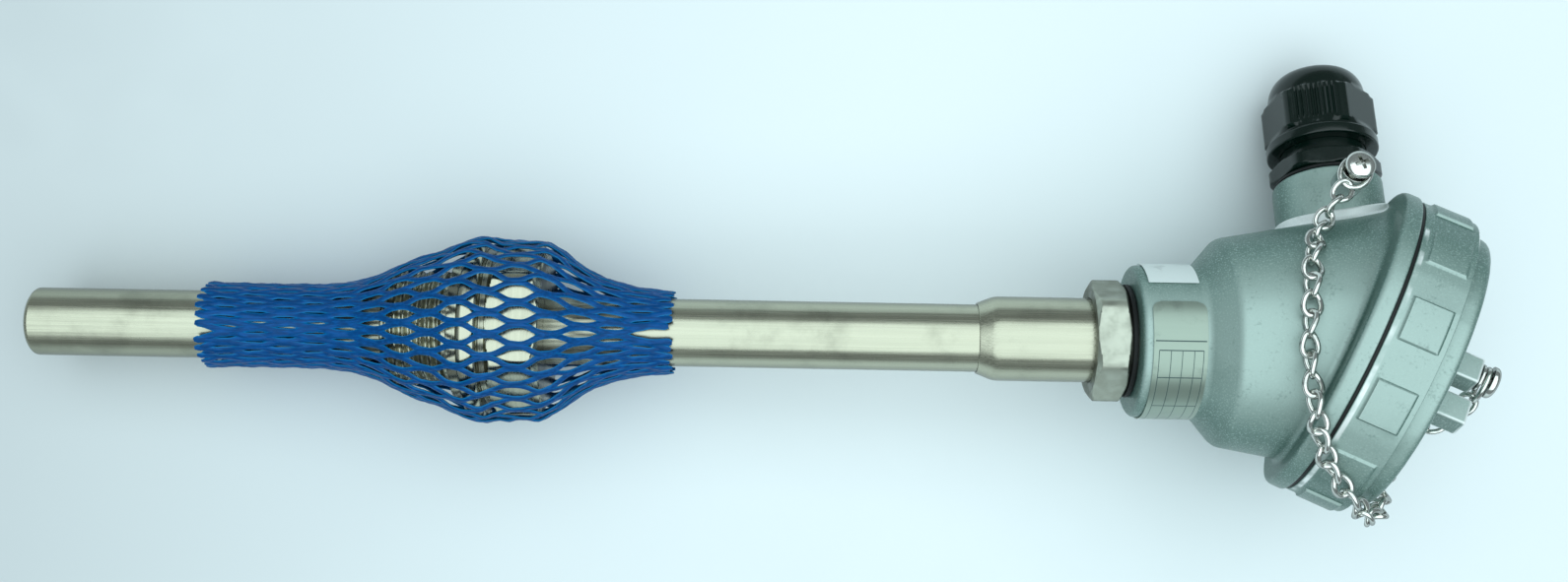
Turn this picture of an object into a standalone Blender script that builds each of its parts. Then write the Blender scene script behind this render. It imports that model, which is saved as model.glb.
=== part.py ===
"""Resistance temperature detector with a fixed process thread, a tilted screw-cap head and a cable gland.

Sizes are in metres and angles in degrees. The piece is drawn along X, from the tip of the protection
tube to the head, with the cable gland along Y. At the end it is laid on the plane z = 0 as it rests.
"""

import math

import bmesh
import bpy
import numpy as np
from mathutils import Matrix, Vector

# Clearances
SEAT_GAP = 0.0003
THREAD_GAP = 0.0003
FOIL_GAP = 0.0002
WIRE_GAP = 0.0003

# Protection tube and its extension
TUBE_RADIUS = 0.008
TUBE_WALL = 0.0015
TUBE_TIP_WALL = 0.004
TUBE_TIP_CHAMFER = 0.0008
EXTENSION_LENGTH = 0.1014

# Process fitting
INSERTION_LENGTH = 0.1
THREAD_RADIUS = 0.0135
THREAD_LENGTH = 0.0138
THREAD_CHAMFER = 0.0012
RELIEF_RADIUS = 0.012
RELIEF_LENGTH = 0.0021
SEALING_COLLAR_RADIUS = 0.0165
SEALING_COLLAR_LENGTH = 0.0025
COLLAR_GROOVE_RADIUS = 0.0148
COLLAR_GROOVE_LENGTH = 0.0006
ROUND_COLLAR_RADIUS = 0.0206
ROUND_COLLAR_LENGTH = 0.0045
ROUND_COLLAR_EDGE = 0.0012
HEX_STEP_RADIUS = 0.0172
HEX_STEP_LENGTH = 0.0014
FITTING_FLATS = 0.036
FITTING_HEX_LENGTH = 0.0122
FITTING_HEX_PHASE = 14.0
HEX_CHAMFER_ANGLE = 30.0
HEX_FACE_SHARE = 0.985

# Transport net over the fitting
NET_WALL = 0.0009
NET_CLEARANCE = 0.0008
NET_CELLS_AROUND = 13
NET_OPEN_ROWS = 8
NET_STRAND = 0.00085
NET_PLEAT = 0.0004
NET_REACH = 0.45
NET_LEAD = 0.044
NET_TAIL = 0.0302
NET_FLARE_LEAD = 0.0217
NET_FLARE_TAIL = 0.0158
NET_THREAD_SAG = 0.0002
NET_BRIDGE_SAG = 0.0012
NET_COLLAR_RISE = 0.0014
NET_RIM_SAG = 0.0009
NET_HEX_MARGIN = 0.001
NET_PINCH = 0.0002
# Distance ahead of the thread, and how far the net stands out from where it closes on the tube
NET_OPENING = ((0.012, 0.0002), (0.005, 0.002))
# Distance past the fitting, and the same
NET_CLOSING = ((0.004, 0.0098), (0.0095, 0.0054), (NET_FLARE_TAIL, 0.0021))

# Neck sleeve, union nut and gasket
SLEEVE_RADIUS = 0.01
SLEEVE_TAPER = 0.004
SLEEVE_EXPOSED = 0.0266
SLEEVE_SEATED = 0.0165
NECK_NUT_FLATS = 0.026
NECK_NUT_LENGTH = 0.0078
NECK_NUT_PHASE = 14.2
NECK_NUT_SPIGOT_RADIUS = 0.0115
NECK_NUT_SPIGOT_LENGTH = 0.013
NECK_GASKET_THICKNESS = 0.0011
NECK_GASKET_RADIUS = 0.0147

# Connection head
NECK_RADIUS = 0.018
NECK_LENGTH = 0.0148
NECK_EDGE = 0.0015
SHOULDER_LENGTH = 0.0057
BODY_RADIUS = 0.0247
BODY_LENGTH = 0.032
CAP_TILT = 25.2
HEAD_WALL = 0.003
FLANGE_RADIUS = 0.0378
FLANGE_THICKNESS = 0.0038
FLANGE_EDGE = 0.0014
FLANGE_OVERHANG = 0.0044
MOUTH_DEPTH = 0.0095
MOUTH_WALL = 0.00171
CAVITY_FLOOR_INSET = 0.0005
CAVITY_FLOOR_WALL = 0.0045
CAVITY_MOUTH_STEP = 0.0018
INSERT_HOLE_RADIUS = 0.0045

# Seal and cap
SEAL_THICKNESS = 0.0009
SEAL_WIDTH = 0.0045
SEAL_INSET = 0.0004
CAP_BAND_INSET = 0.0006
CAP_BAND_LENGTH = 0.0122
CAP_BAND_EDGE = 0.0006
CAP_TIER_STEP = 0.0028
CAP_TIER_LENGTH = 0.0046
CAP_TIER_EDGE = 0.0016
CAP_WALL = 0.003
CAP_SKIRT_LENGTH = 0.0088
PAD_COUNT = 12
PAD_SPAN = 15.0
PAD_HEIGHT = 0.0006
PAD_PHASE = 11.0
PAD_FLANK = 0.5
POST_SIDE = 0.0067
POST_SPACING = 0.0117
POST_HEIGHT = 0.012
POST_CHAMFER = 0.0009
POST_ANGLE = -4.0

# Boss for the gland, and the lug for the chain
GLAND_STATION = 0.0312
BOSS_COLLAR_WIDTH = 0.0012
BOSS_COLLAR_RISE = 0.0019
BOSS_RADIUS = 0.013
BOSS_REACH = 0.0413
BOSS_BORE_RADIUS = 0.0092
BOSS_EDGE = 0.0005
LUG_RADIUS = 0.0035
LUG_DROP = 0.0053
LUG_REACH = 0.02

# Cable gland
GLAND_GASKET_THICKNESS = 0.0008
GLAND_GASKET_RADIUS = 0.0124
GLAND_FLATS = 0.024
GLAND_HEX_LENGTH = 0.0045
GLAND_HEX_PHASE = 45.0
GLAND_SPIGOT_LENGTH = 0.012
GLAND_BORE_RADIUS = 0.0071
GLAND_NECK_RADIUS = 0.0101
GLAND_NECK_EXPOSED = 0.0032
GLAND_NECK_HIDDEN = 0.0078
GLAND_NUT_SKIRT_RADIUS = 0.01325
GLAND_NUT_SKIRT_LENGTH = 0.0035
GLAND_NUT_HEX_LENGTH = 0.0114
GLAND_NUT_PHASE = 9.2
GLAND_NUT_DOME_LENGTH = 0.0063
GLAND_DOME_ARC = 78.0
GLAND_NUT_MOUTH_RADIUS = 0.0065
GLAND_NUT_LIP_RADIUS = 0.0083
GLAND_NUT_LIP_DEPTH = 0.0035
GLAND_RIB_PITCH = 0.00198
GLAND_RIB_DEPTH = 0.0003
CLAW_WALL = 0.0011
CLAW_LENGTH = 0.0058
CLAW_SLOT = 0.0011
CLAW_COUNT = 6
GLAND_SEAL_RADIUS = 0.0067
GLAND_SEAL_BORE = 0.005
GLAND_SEAL_LENGTH = 0.0095

# Screws that hold the chain
CHAIN_SCREW_SHANK = 0.0015
CHAIN_SCREW_DEPTH = 0.0075
HEAD_SCREW_RADIUS = 0.0035
HEAD_SCREW_HEIGHT = 0.0018
CAP_SCREW_RADIUS = 0.0039
CAP_SCREW_HEIGHT = 0.0021
SCREW_CROSS_WIDTH = 0.0008
SCREW_DOME_ARCS = (10.0, 50.0)
SCREW_SLOT_SHARE = 0.5
SCREW_CROSS_DEPTH = 0.0009
CROSS_ANGLES = (0.0, 90.0)
WASHER_RADIUS = 0.0034
WASHER_THICKNESS = 0.0006

# Safety chain
CHAIN_WIRE = 0.001
CHAIN_PITCH = 0.0046
CHAIN_LINK_WIDTH = 0.0048
CHAIN_CONTACT = 0.0003
CHAIN_TWIST = 45.0
CHAIN_CLEARANCE = 0.0026
CHAIN_EYE_REACH = 0.006
CHAIN_EYE_WIDTH = 0.0064

# Where the chain lies on the flared body: depth under the seal, and angle about the stem
CHAIN_ON_BODY = (
    (0.0191, 47.0),
    (0.0195, 60.0),
    (0.0190, 70.0),
    (0.0175, 82.0),
    (0.0155, 94.0),
    (0.0138, 106.0),
    (0.0118, 115.0),
)
# Where it crosses the flange and the cap's band: height over the seal, and angle about the cap
CHAIN_ON_RIM = (
    (-0.0062, 140.0),
    (-0.0035, 146.0),
    (0.0, 153.0),
    (0.004, 159.5),
    (0.008, 164.5),
    (0.012, 168.5),
)
# Where it turns over the edge of the cap's face: height over the face, distance past the edge, and sideways
CHAIN_OVER_EDGE = (
    (-0.0018, 0.0047, 0.0020),
    (0.0010, 0.0028, -0.0015),
    (0.0028, -0.0020, -0.0065),
)
# Where it hangs before the cap's outer face: height over the face, and two distances from the cap's axis
CHAIN_ON_FACE = (
    (0.0030, -0.0260, -0.0120),
    (0.0032, -0.0190, -0.0150),
    (0.0042, -0.0115, -0.0150),
    (0.0078, -0.0055, -0.0138),
    (0.0130, -0.0004, -0.0088),
)

# Measuring insert
SHEATH_RADIUS = 0.003
SHEATH_WALL = 0.0005
SHEATH_TIP_WALL = 0.001
ELEMENT_RADIUS = 0.0017
ELEMENT_LENGTH = 0.015
ELEMENT_INSET = 0.0015
INSULATOR_RADIUS = 0.0021
WIRE_HOLE_RADIUS = 0.0005
WIRE_HOLE_PITCH_RADIUS = 0.0012
WIRE_RADIUS = 0.00025
INSERT_FLANGE_RADIUS = 0.017
INSERT_FLANGE_THICKNESS = 0.0015

# Terminal block
BLOCK_RADIUS = 0.017
BLOCK_THICKNESS = 0.008
BLOCK_HOLE_RADIUS = 0.006
BLOCK_EDGE = 0.0008
TERMINAL_COUNT = 3
TERMINAL_PHASE = 60.0
TERMINAL_PITCH_RADIUS = 0.0115
TERMINAL_LENGTH = 0.0065
TERMINAL_WIDTH = 0.006
TERMINAL_HEIGHT = 0.005
TERMINAL_SCREW_RADIUS = 0.0026
TERMINAL_SCREW_HEIGHT = 0.0018
TERMINAL_SCREW_SHANK = 0.0013
TERMINAL_SCREW_DEPTH = 0.0035
TERMINAL_SLOT_ANGLE = 35.0
BLOCK_SCREW_ANGLES = (0.0, 120.0)
BLOCK_SCREW_PITCH_RADIUS = 0.0125
BLOCK_SCREW_RADIUS = 0.0024
BLOCK_SCREW_SHANK = 0.0012
BLOCK_SCREW_BITE = 0.003
BLOCK_SCREW_HEAD = 0.0016
BLOCK_SLOT_ANGLE = 70.0

# Foil plate and sticker on the neck
PLATE_THICKNESS = 0.0004
PLATE_MARGIN = 0.0005
PLATE_START = 81.0
PLATE_END = 216.0
STICKER_START = 18.0
STICKER_END = 63.0
STICKER_MARGIN = 0.0012

# Roundness
STEM_SIDES = 30
HEAD_SIDES = 40
SMALL_SIDES = 16
SCREW_SIDES = 12
DOME_STEPS = 3
WIRE_SIDES = 4
LINK_STEPS = 6
LINK_FACET_TURN = 11.0
SHARP_ANGLE = 32.0
ARC_SHARE = 0.3
AXIS_SIZE = 0.01
HOLE_PHASE = 4.7

# Stations along the stem, from the tip of the tube
THREAD_START = INSERTION_LENGTH - RELIEF_LENGTH - THREAD_LENGTH
GROOVE_START = INSERTION_LENGTH + SEALING_COLLAR_LENGTH
ROUND_COLLAR_START = GROOVE_START + COLLAR_GROOVE_LENGTH
HEX_STEP_START = ROUND_COLLAR_START + ROUND_COLLAR_LENGTH
FITTING_HEX_START = HEX_STEP_START + HEX_STEP_LENGTH
FITTING_END = FITTING_HEX_START + FITTING_HEX_LENGTH
SLEEVE_START = FITTING_END + EXTENSION_LENGTH
NECK_NUT_START = SLEEVE_START + SLEEVE_EXPOSED
NECK_NUT_END = NECK_NUT_START + NECK_NUT_LENGTH
NECK_START = NECK_NUT_END + NECK_GASKET_THICKNESS + 2 * SEAT_GAP
NECK_END = NECK_START + NECK_LENGTH
BODY_START = NECK_END + SHOULDER_LENGTH
CAP_STATION = BODY_START + BODY_LENGTH
GLAND_CENTRE = BODY_START + GLAND_STATION
CAVITY_FLOOR = BODY_START - CAVITY_FLOOR_INSET
SPIGOT_END = NECK_NUT_END + NECK_NUT_SPIGOT_LENGTH
SLEEVE_END = NECK_NUT_START + SLEEVE_SEATED
FLANGE_FACE = -SEAL_THICKNESS / 2 - SEAT_GAP
CAP_FACE = SEAL_THICKNESS / 2 + SEAT_GAP
CAP_BAND_END = CAP_FACE + CAP_BAND_LENGTH
CAP_TOP = CAP_BAND_END + CAP_TIER_LENGTH
POST_END = CAP_TOP + POST_HEIGHT
BLOCK_START = CAVITY_FLOOR + 2 * SEAT_GAP + INSERT_FLANGE_THICKNESS
BLOCK_END = BLOCK_START + BLOCK_THICKNESS
GLAND_HEX_START = BOSS_REACH + GLAND_GASKET_THICKNESS + 2 * SEAT_GAP
GLAND_HEX_END = GLAND_HEX_START + GLAND_HEX_LENGTH
GLAND_NUT_START = GLAND_HEX_END + GLAND_NECK_EXPOSED
GLAND_NUT_HEX_START = GLAND_NUT_START + GLAND_NUT_SKIRT_LENGTH
GLAND_DOME_START = GLAND_NUT_HEX_START + GLAND_NUT_HEX_LENGTH
GLAND_MOUTH = GLAND_DOME_START + GLAND_NUT_DOME_LENGTH
GLAND_NECK_END = GLAND_NUT_START + GLAND_NECK_HIDDEN
STACK_HEIGHT = WASHER_THICKNESS + CHAIN_WIRE + 3 * SEAT_GAP
CAP_BAND_RADIUS = FLANGE_RADIUS - CAP_BAND_INSET
CAP_TIER_RADIUS = CAP_BAND_RADIUS - CAP_TIER_STEP
CAVITY_FLOOR_RADIUS = BODY_RADIUS - CAVITY_FLOOR_WALL


def slant_crossing(depth):
    """Where the plane at a depth under the seal crosses the stem's axis."""
    return CAP_STATION - depth / math.cos(math.radians(CAP_TILT))


def flange_depth():
    """How far under the seal's middle the back of the flange is."""
    return FLANGE_THICKNESS - FLANGE_FACE


def flare_slope():
    """How fast the body widens to reach the flange's back with its overhang on the gland's side."""
    tilt = math.radians(CAP_TILT)
    depth = flange_depth()
    length = slant_crossing(depth) - BODY_START
    reach = (FLANGE_RADIUS - FLANGE_OVERHANG + depth * math.tan(tilt)) * math.cos(tilt)
    return (reach - BODY_RADIUS) / (length + reach * math.tan(tilt))


FLARE_SLOPE = flare_slope()


def body_reach(depth, angle):
    """The flared body's distance from the stem's axis, in the plane at a depth under the seal."""
    base = BODY_RADIUS + (slant_crossing(depth) - BODY_START) * FLARE_SLOPE
    return base / (1 - math.cos(math.radians(angle)) * math.tan(math.radians(CAP_TILT)) * FLARE_SLOPE)


def mouth_radius():
    """The mouth's radius that leaves its wall on the gland's side."""
    tilt = math.radians(CAP_TILT)
    return body_reach(MOUTH_DEPTH, 0) / math.cos(tilt) - MOUTH_DEPTH * math.tan(tilt) - MOUTH_WALL


MOUTH_RADIUS = mouth_radius()


def clear_scene():
    for obj in list(bpy.data.objects):
        bpy.data.objects.remove(obj, do_unlink=True)


def material(name, colour, roughness, metallic):
    """A plain finish of one colour."""
    finish = bpy.data.materials.new(name)
    finish.use_nodes = True
    shader = finish.node_tree.nodes["Principled BSDF"]
    shader.inputs["Base Color"].default_value = (*colour, 1.0)
    shader.inputs["Roughness"].default_value = roughness
    shader.inputs["Metallic"].default_value = metallic
    return finish


def frame_empty(name, matrix, parent=None):
    """An empty that carries the pieces drawn about its X axis."""
    empty = bpy.data.objects.new(name, None)
    empty.empty_display_size = AXIS_SIZE
    bpy.context.collection.objects.link(empty)
    empty.parent = parent
    empty.matrix_basis = matrix
    return empty


def place_mesh(name, bm, finish, parent):
    """Turns a bmesh into a named object, smooth where it is round."""
    bmesh.ops.recalc_face_normals(bm, faces=bm.faces)
    mesh = bpy.data.meshes.new(name)
    bm.to_mesh(mesh)
    bm.free()
    mesh.materials.append(finish)
    mesh.shade_smooth()
    mesh.set_sharp_from_angle(angle=math.radians(SHARP_ANGLE))
    obj = bpy.data.objects.new(name, mesh)
    bpy.context.collection.objects.link(obj)
    obj.parent = parent
    return obj


def even_angles(count, phase=0.0):
    return [phase + 360.0 * step / count for step in range(count)]


def ring(x, radius, angles, limit=None):
    """Points about the X axis. A limit keeps the radius within a shape such as a hexagon."""
    if radius == 0:
        return [Vector((x, 0, 0))]
    points = []
    for angle in angles:
        reach = radius if limit is None else min(radius, limit(x, angle))
        turn = math.radians(angle)
        points.append(Vector((x, reach * math.cos(turn), reach * math.sin(turn))))
    return points


def skin(name, rings, finish, parent, looped=False):
    """A closed surface through rings of equal count. A ring of one point closes an end."""
    bm = bmesh.new()
    rows = [[bm.verts.new(point) for point in points] for points in rings]
    pairs = list(zip(rows, rows[1:]))
    if looped:
        pairs.append((rows[-1], rows[0]))
    for first, second in pairs:
        for i in range(max(len(first), len(second))):
            j = i + 1
            corners = [first[i % len(first)], first[j % len(first)]]
            corners += [second[j % len(second)], second[i % len(second)]]
            bm.faces.new(list(dict.fromkeys(corners)))
    return place_mesh(name, bm, finish, parent)


def turned(name, profile, angles, finish, parent, limit=None):
    """A turned piece. Its profile is a list of (x, radius), and it is solid where that meets the axis."""
    rings = [ring(x, radius, angles, limit) for x, radius in profile]
    return skin(name, rings, finish, parent, looped=profile[0][1] > 0)


def box(name, low, high, finish, parent, chamfer=0.0):
    """A straight block between two corners, with a chamfer on the edges of its high X end."""
    bm = bmesh.new()
    bmesh.ops.create_cube(bm, size=1.0)
    size = Vector(high) - Vector(low)
    middle = (Vector(high) + Vector(low)) / 2
    for vert in bm.verts:
        vert.co = Vector(a * b for a, b in zip(vert.co, size)) + middle
    if chamfer > 0:
        top = [edge for edge in bm.edges if min(vert.co.x for vert in edge.verts) > middle.x]
        bmesh.ops.bevel(bm, geom=top, offset=chamfer, segments=1, affect="EDGES")
    return place_mesh(name, bm, finish, parent)


def combine(target, tool, operation):
    """Joins a hidden tool to a piece, or cuts it away."""
    tool.hide_render = True
    tool.display_type = "WIRE"
    modifier = target.modifiers.new(tool.name, "BOOLEAN")
    modifier.solver = "EXACT"
    modifier.operation = operation
    modifier.object = tool
    return target


def hexagon(flats, phase, start, end):
    """A limit that is a hexagon with a corner at the phase, between two stations."""

    def limit(x, angle):
        if not start <= x <= end:
            return math.inf
        offset = math.radians((angle - phase) % 60.0 - 30.0)
        return flats / 2 / math.cos(offset)

    return limit


def hex_profile(start, end, flats, inner_start, inner_end):
    """The turned outline of a nut whose corners are chamfered at both ends."""
    corner = flats / 2 / math.cos(math.radians(30))
    face = flats / 2 * HEX_FACE_SHARE
    drop = (corner - face) * math.tan(math.radians(HEX_CHAMFER_ANGLE))
    steps = (0.0, 0.5, 1.0)
    rise = [(start + drop * t, face + (corner - face) * t) for t in steps]
    fall = [(end - drop * t, face + (corner - face) * t) for t in reversed(steps)]
    return [(start, inner_start)] + rise + fall + [(end, inner_end)]


def rounded(start, end, radius, edge, steps=2):
    """Outline points of a collar with rounded rims."""
    arcs = [math.radians(90 * step / steps) for step in range(steps + 1)]
    rise = [(start + edge * (1 - math.sin(a)), radius - edge * (1 - math.cos(a))) for a in reversed(arcs)]
    fall = [(end - edge * (1 - math.sin(a)), radius - edge * (1 - math.cos(a))) for a in arcs]
    return rise + fall


def protection_tube(finish, parent):
    bore = TUBE_RADIUS - TUBE_WALL
    profile = [
        (0, 0),
        (0, TUBE_RADIUS - TUBE_TIP_CHAMFER),
        (TUBE_TIP_CHAMFER, TUBE_RADIUS),
        (SLEEVE_END, TUBE_RADIUS),
        (SLEEVE_END, bore),
        (TUBE_TIP_WALL, bore),
        (TUBE_TIP_WALL, 0),
    ]
    return turned("protection_tube", profile, even_angles(STEM_SIDES), finish, parent)


def process_fitting(finish, parent):
    bore = TUBE_RADIUS + SEAT_GAP
    profile = [
        (THREAD_START, bore),
        (THREAD_START, THREAD_RADIUS - THREAD_CHAMFER),
        (THREAD_START + THREAD_CHAMFER, THREAD_RADIUS),
        (THREAD_START + THREAD_LENGTH, THREAD_RADIUS),
        (THREAD_START + THREAD_LENGTH, RELIEF_RADIUS),
        (INSERTION_LENGTH, RELIEF_RADIUS),
        (INSERTION_LENGTH, SEALING_COLLAR_RADIUS),
        (GROOVE_START, SEALING_COLLAR_RADIUS),
        (GROOVE_START, COLLAR_GROOVE_RADIUS),
        (ROUND_COLLAR_START, COLLAR_GROOVE_RADIUS),
    ]
    profile += rounded(ROUND_COLLAR_START, HEX_STEP_START, ROUND_COLLAR_RADIUS, ROUND_COLLAR_EDGE)
    profile += [(HEX_STEP_START, HEX_STEP_RADIUS), (FITTING_HEX_START, HEX_STEP_RADIUS)]
    profile += hex_profile(FITTING_HEX_START, FITTING_END, FITTING_FLATS, HEX_STEP_RADIUS, bore)[1:]
    limit = hexagon(FITTING_FLATS, FITTING_HEX_PHASE, FITTING_HEX_START, FITTING_END)
    angles = even_angles(STEM_SIDES, FITTING_HEX_PHASE)
    return turned("process_fitting", profile, angles, finish, parent, limit)


def neck_sleeve(finish, parent):
    bore = TUBE_RADIUS + SEAT_GAP
    profile = [
        (SLEEVE_START, bore),
        (SLEEVE_START, bore + SEAT_GAP),
        (SLEEVE_START + SLEEVE_TAPER, SLEEVE_RADIUS),
        (SLEEVE_END, SLEEVE_RADIUS),
        (SLEEVE_END, bore),
    ]
    return turned("neck_sleeve", profile, even_angles(STEM_SIDES), finish, parent)


def neck_nut(finish, parent):
    bore = SLEEVE_RADIUS + SEAT_GAP
    profile = hex_profile(NECK_NUT_START, NECK_NUT_END, NECK_NUT_FLATS, bore, NECK_NUT_SPIGOT_RADIUS)
    profile += [(SPIGOT_END, NECK_NUT_SPIGOT_RADIUS), (SPIGOT_END, bore)]
    limit = hexagon(NECK_NUT_FLATS, NECK_NUT_PHASE, NECK_NUT_START, NECK_NUT_END)
    angles = even_angles(STEM_SIDES, NECK_NUT_PHASE)
    return turned("neck_nut", profile, angles, finish, parent, limit)


def neck_gasket(finish, parent):
    start = NECK_NUT_END + SEAT_GAP
    end = start + NECK_GASKET_THICKNESS
    inner = NECK_NUT_SPIGOT_RADIUS + SEAT_GAP
    profile = [(start, inner), (start, NECK_GASKET_RADIUS), (end, NECK_GASKET_RADIUS), (end, inner)]
    return turned("neck_gasket", profile, even_angles(STEM_SIDES), finish, parent)


def tilt_matrix():
    """From the cap's own axes, about the centre of its seal, to the stem's."""
    place = Matrix.Translation((CAP_STATION, 0, 0))
    return place @ Matrix.Rotation(math.radians(-CAP_TILT), 4, "Z")


def gland_matrix():
    """From the gland's own axes, about its crossing with the stem's axis, to the stem's."""
    return Matrix.Translation((GLAND_CENTRE, 0, 0)) @ Matrix.Rotation(math.radians(90), 4, "Z")


def body_cone_ring(depth, outward, angles):
    """Where the flared body meets the plane at a depth under the seal, or a ring outside it."""
    tilt = math.tan(math.radians(CAP_TILT))
    points = []
    for angle in angles:
        turn = math.radians(angle)
        reach = body_reach(depth, angle) + outward
        sideways = reach * math.cos(turn)
        points.append(Vector((slant_crossing(depth) + sideways * tilt, sideways, reach * math.sin(turn))))
    return points


def tilted_ring(x, radius, angles):
    """A ring about the cap's axis, given in the stem's axes."""
    return [tilt_matrix() @ point for point in ring(x, radius, angles)]


def head_body(finish, parent, gland_frame):
    """The casting: neck, shoulder, flared body and cap flange, with the gland's boss and the chain's lug."""
    angles = even_angles(HEAD_SIDES)
    flange_back = -flange_depth()
    rings = [
        ring(NECK_START, 0, angles),
        ring(NECK_START, NECK_RADIUS - NECK_EDGE, angles),
        ring(NECK_START + NECK_EDGE, NECK_RADIUS, angles),
        ring(NECK_END, NECK_RADIUS, angles),
        ring(BODY_START, BODY_RADIUS, angles),
        body_cone_ring(flange_depth(), 0, angles),
        tilted_ring(flange_back, FLANGE_RADIUS - FLANGE_EDGE, angles),
        tilted_ring(flange_back + FLANGE_EDGE * ARC_SHARE, FLANGE_RADIUS - FLANGE_EDGE * ARC_SHARE, angles),
        tilted_ring(flange_back + FLANGE_EDGE, FLANGE_RADIUS, angles),
        tilted_ring(FLANGE_FACE, FLANGE_RADIUS, angles),
        tilted_ring(FLANGE_FACE, 0, angles),
    ]
    body = skin("head_body", rings, finish, parent)

    root = BODY_RADIUS - HEAD_WALL
    boss_profile = [(root, 0), (root, BOSS_RADIUS)]
    boss_profile += rounded(root, BOSS_REACH, BOSS_RADIUS, BOSS_EDGE, 1)[2:] + [(BOSS_REACH, 0)]
    boss = turned("boss", boss_profile, even_angles(STEM_SIDES), finish, gland_frame)
    boss_foot(boss, angles, finish, parent, gland_frame)
    trim_rings = [
        tilted_ring(FLANGE_FACE - FLANGE_EDGE, 0, angles),
        tilted_ring(FLANGE_FACE - FLANGE_EDGE, FLANGE_RADIUS - FLANGE_EDGE, angles),
        tilted_ring(CAP_BAND_LENGTH, FLANGE_RADIUS - FLANGE_EDGE, angles),
        tilted_ring(CAP_BAND_LENGTH, 0, angles),
    ]
    combine(boss, skin("boss_trim", trim_rings, finish, parent), "DIFFERENCE")
    combine(body, boss, "UNION")

    lug_foot = BOSS_RADIUS - HEAD_WALL
    lug_outline = [(lug_foot, 0), (lug_foot, LUG_RADIUS), (LUG_REACH, LUG_RADIUS), (LUG_REACH, 0)]
    lug = turned("lug", lug_outline, even_angles(SMALL_SIDES), finish, gland_frame)
    lug.matrix_basis = lug_matrix()
    combine(body, lug, "UNION")

    mouth_floor = -MOUTH_DEPTH
    beyond = CAP_BAND_LENGTH
    inside_angles = even_angles(HEAD_SIDES, HOLE_PHASE)
    cavity_rings = [
        ring(CAVITY_FLOOR, 0, inside_angles),
        ring(CAVITY_FLOOR, CAVITY_FLOOR_RADIUS, inside_angles),
        tilted_ring(mouth_floor - CAVITY_MOUTH_STEP, MOUTH_RADIUS - CAVITY_MOUTH_STEP, inside_angles),
        tilted_ring(mouth_floor, MOUTH_RADIUS, inside_angles),
        tilted_ring(beyond, MOUTH_RADIUS, inside_angles),
        tilted_ring(beyond, 0, inside_angles),
    ]
    combine(body, skin("cavity", cavity_rings, finish, parent), "DIFFERENCE")

    spigot_hole = NECK_NUT_SPIGOT_RADIUS + THREAD_GAP
    spigot_floor = SPIGOT_END + SEAT_GAP
    stem_profile = [
        (NECK_START - SEAL_WIDTH, 0),
        (NECK_START - SEAL_WIDTH, spigot_hole),
        (spigot_floor, spigot_hole),
        (spigot_floor, INSERT_HOLE_RADIUS),
        (CAVITY_FLOOR + SEAL_WIDTH, INSERT_HOLE_RADIUS),
        (CAVITY_FLOOR + SEAL_WIDTH, 0),
    ]
    stem_bore = turned("stem_bore", stem_profile, even_angles(STEM_SIDES, HOLE_PHASE), finish, parent)
    combine(body, stem_bore, "DIFFERENCE")

    inside = CAVITY_FLOOR_RADIUS - HEAD_WALL
    bore_profile = [
        (inside, 0),
        (inside, BOSS_BORE_RADIUS),
        (BOSS_REACH + SEAL_WIDTH, BOSS_BORE_RADIUS),
        (BOSS_REACH + SEAL_WIDTH, 0),
    ]
    bore = turned("gland_bore", bore_profile, even_angles(STEM_SIDES, HOLE_PHASE), finish, gland_frame)
    combine(body, bore, "DIFFERENCE")

    lug_hole = screw_hole("lug_hole", LUG_REACH, CHAIN_SCREW_DEPTH, CHAIN_SCREW_SHANK, finish, gland_frame)
    lug_hole.matrix_basis = lug_matrix()
    combine(body, lug_hole, "DIFFERENCE")
    for number, angle in enumerate(BLOCK_SCREW_ANGLES, 1):
        depth = BLOCK_SCREW_BITE + SEAT_GAP
        name = f"floor_hole_{number}"
        hole = screw_hole(name, CAVITY_FLOOR, depth, BLOCK_SCREW_SHANK, finish, parent)
        hole.matrix_basis = offset_matrix(BLOCK_SCREW_PITCH_RADIUS, angle)
        combine(body, hole, "DIFFERENCE")
    return body


def boss_foot(boss, angles, finish, parent, gland_frame):
    """Widens the boss where it meets the flared body, by a collar that follows the body."""
    radius = BOSS_RADIUS + BOSS_COLLAR_WIDTH
    root = BODY_RADIUS - HEAD_WALL + BOSS_COLLAR_RISE
    profile = [(root, 0), (root, radius), (BOSS_REACH, radius), (BOSS_REACH, 0)]
    collar = turned("boss_collar", profile, even_angles(STEM_SIDES, HOLE_PHASE), finish, gland_frame)
    near = flange_depth() - FLANGE_EDGE
    shell_rings = [
        ring(BODY_START - SHOULDER_LENGTH, 0, angles),
        ring(BODY_START - SHOULDER_LENGTH, BODY_RADIUS + BOSS_COLLAR_RISE - SHOULDER_LENGTH * FLARE_SLOPE, angles),
        body_cone_ring(near, BOSS_COLLAR_RISE, angles),
        [Vector((slant_crossing(near), 0, 0))],
    ]
    combine(collar, skin("collar_shell", shell_rings, finish, parent), "INTERSECT")
    combine(boss, collar, "UNION")


def screw_hole(name, face, depth, shank, finish, parent):
    """A cutter for a screw hole that starts at a face and runs back along X."""
    radius = shank + THREAD_GAP
    out = face + WASHER_THICKNESS
    profile = [(face - depth, 0), (face - depth, radius), (out, radius), (out, 0)]
    return turned(name, profile, even_angles(SCREW_SIDES, HOLE_PHASE), finish, parent)


def offset_matrix(radius, angle):
    """A place at a distance from the X axis, in the direction of an angle."""
    turn = math.radians(angle)
    return Matrix.Translation((0, radius * math.cos(turn), radius * math.sin(turn)))


def lug_matrix():
    """The lug's own axis, in the gland's axes: it stands on the boss and points to the near side."""
    return Matrix.Translation((BOSS_REACH - LUG_DROP, 0, 0)) @ Matrix.Rotation(math.radians(-90), 4, "Y")


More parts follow.
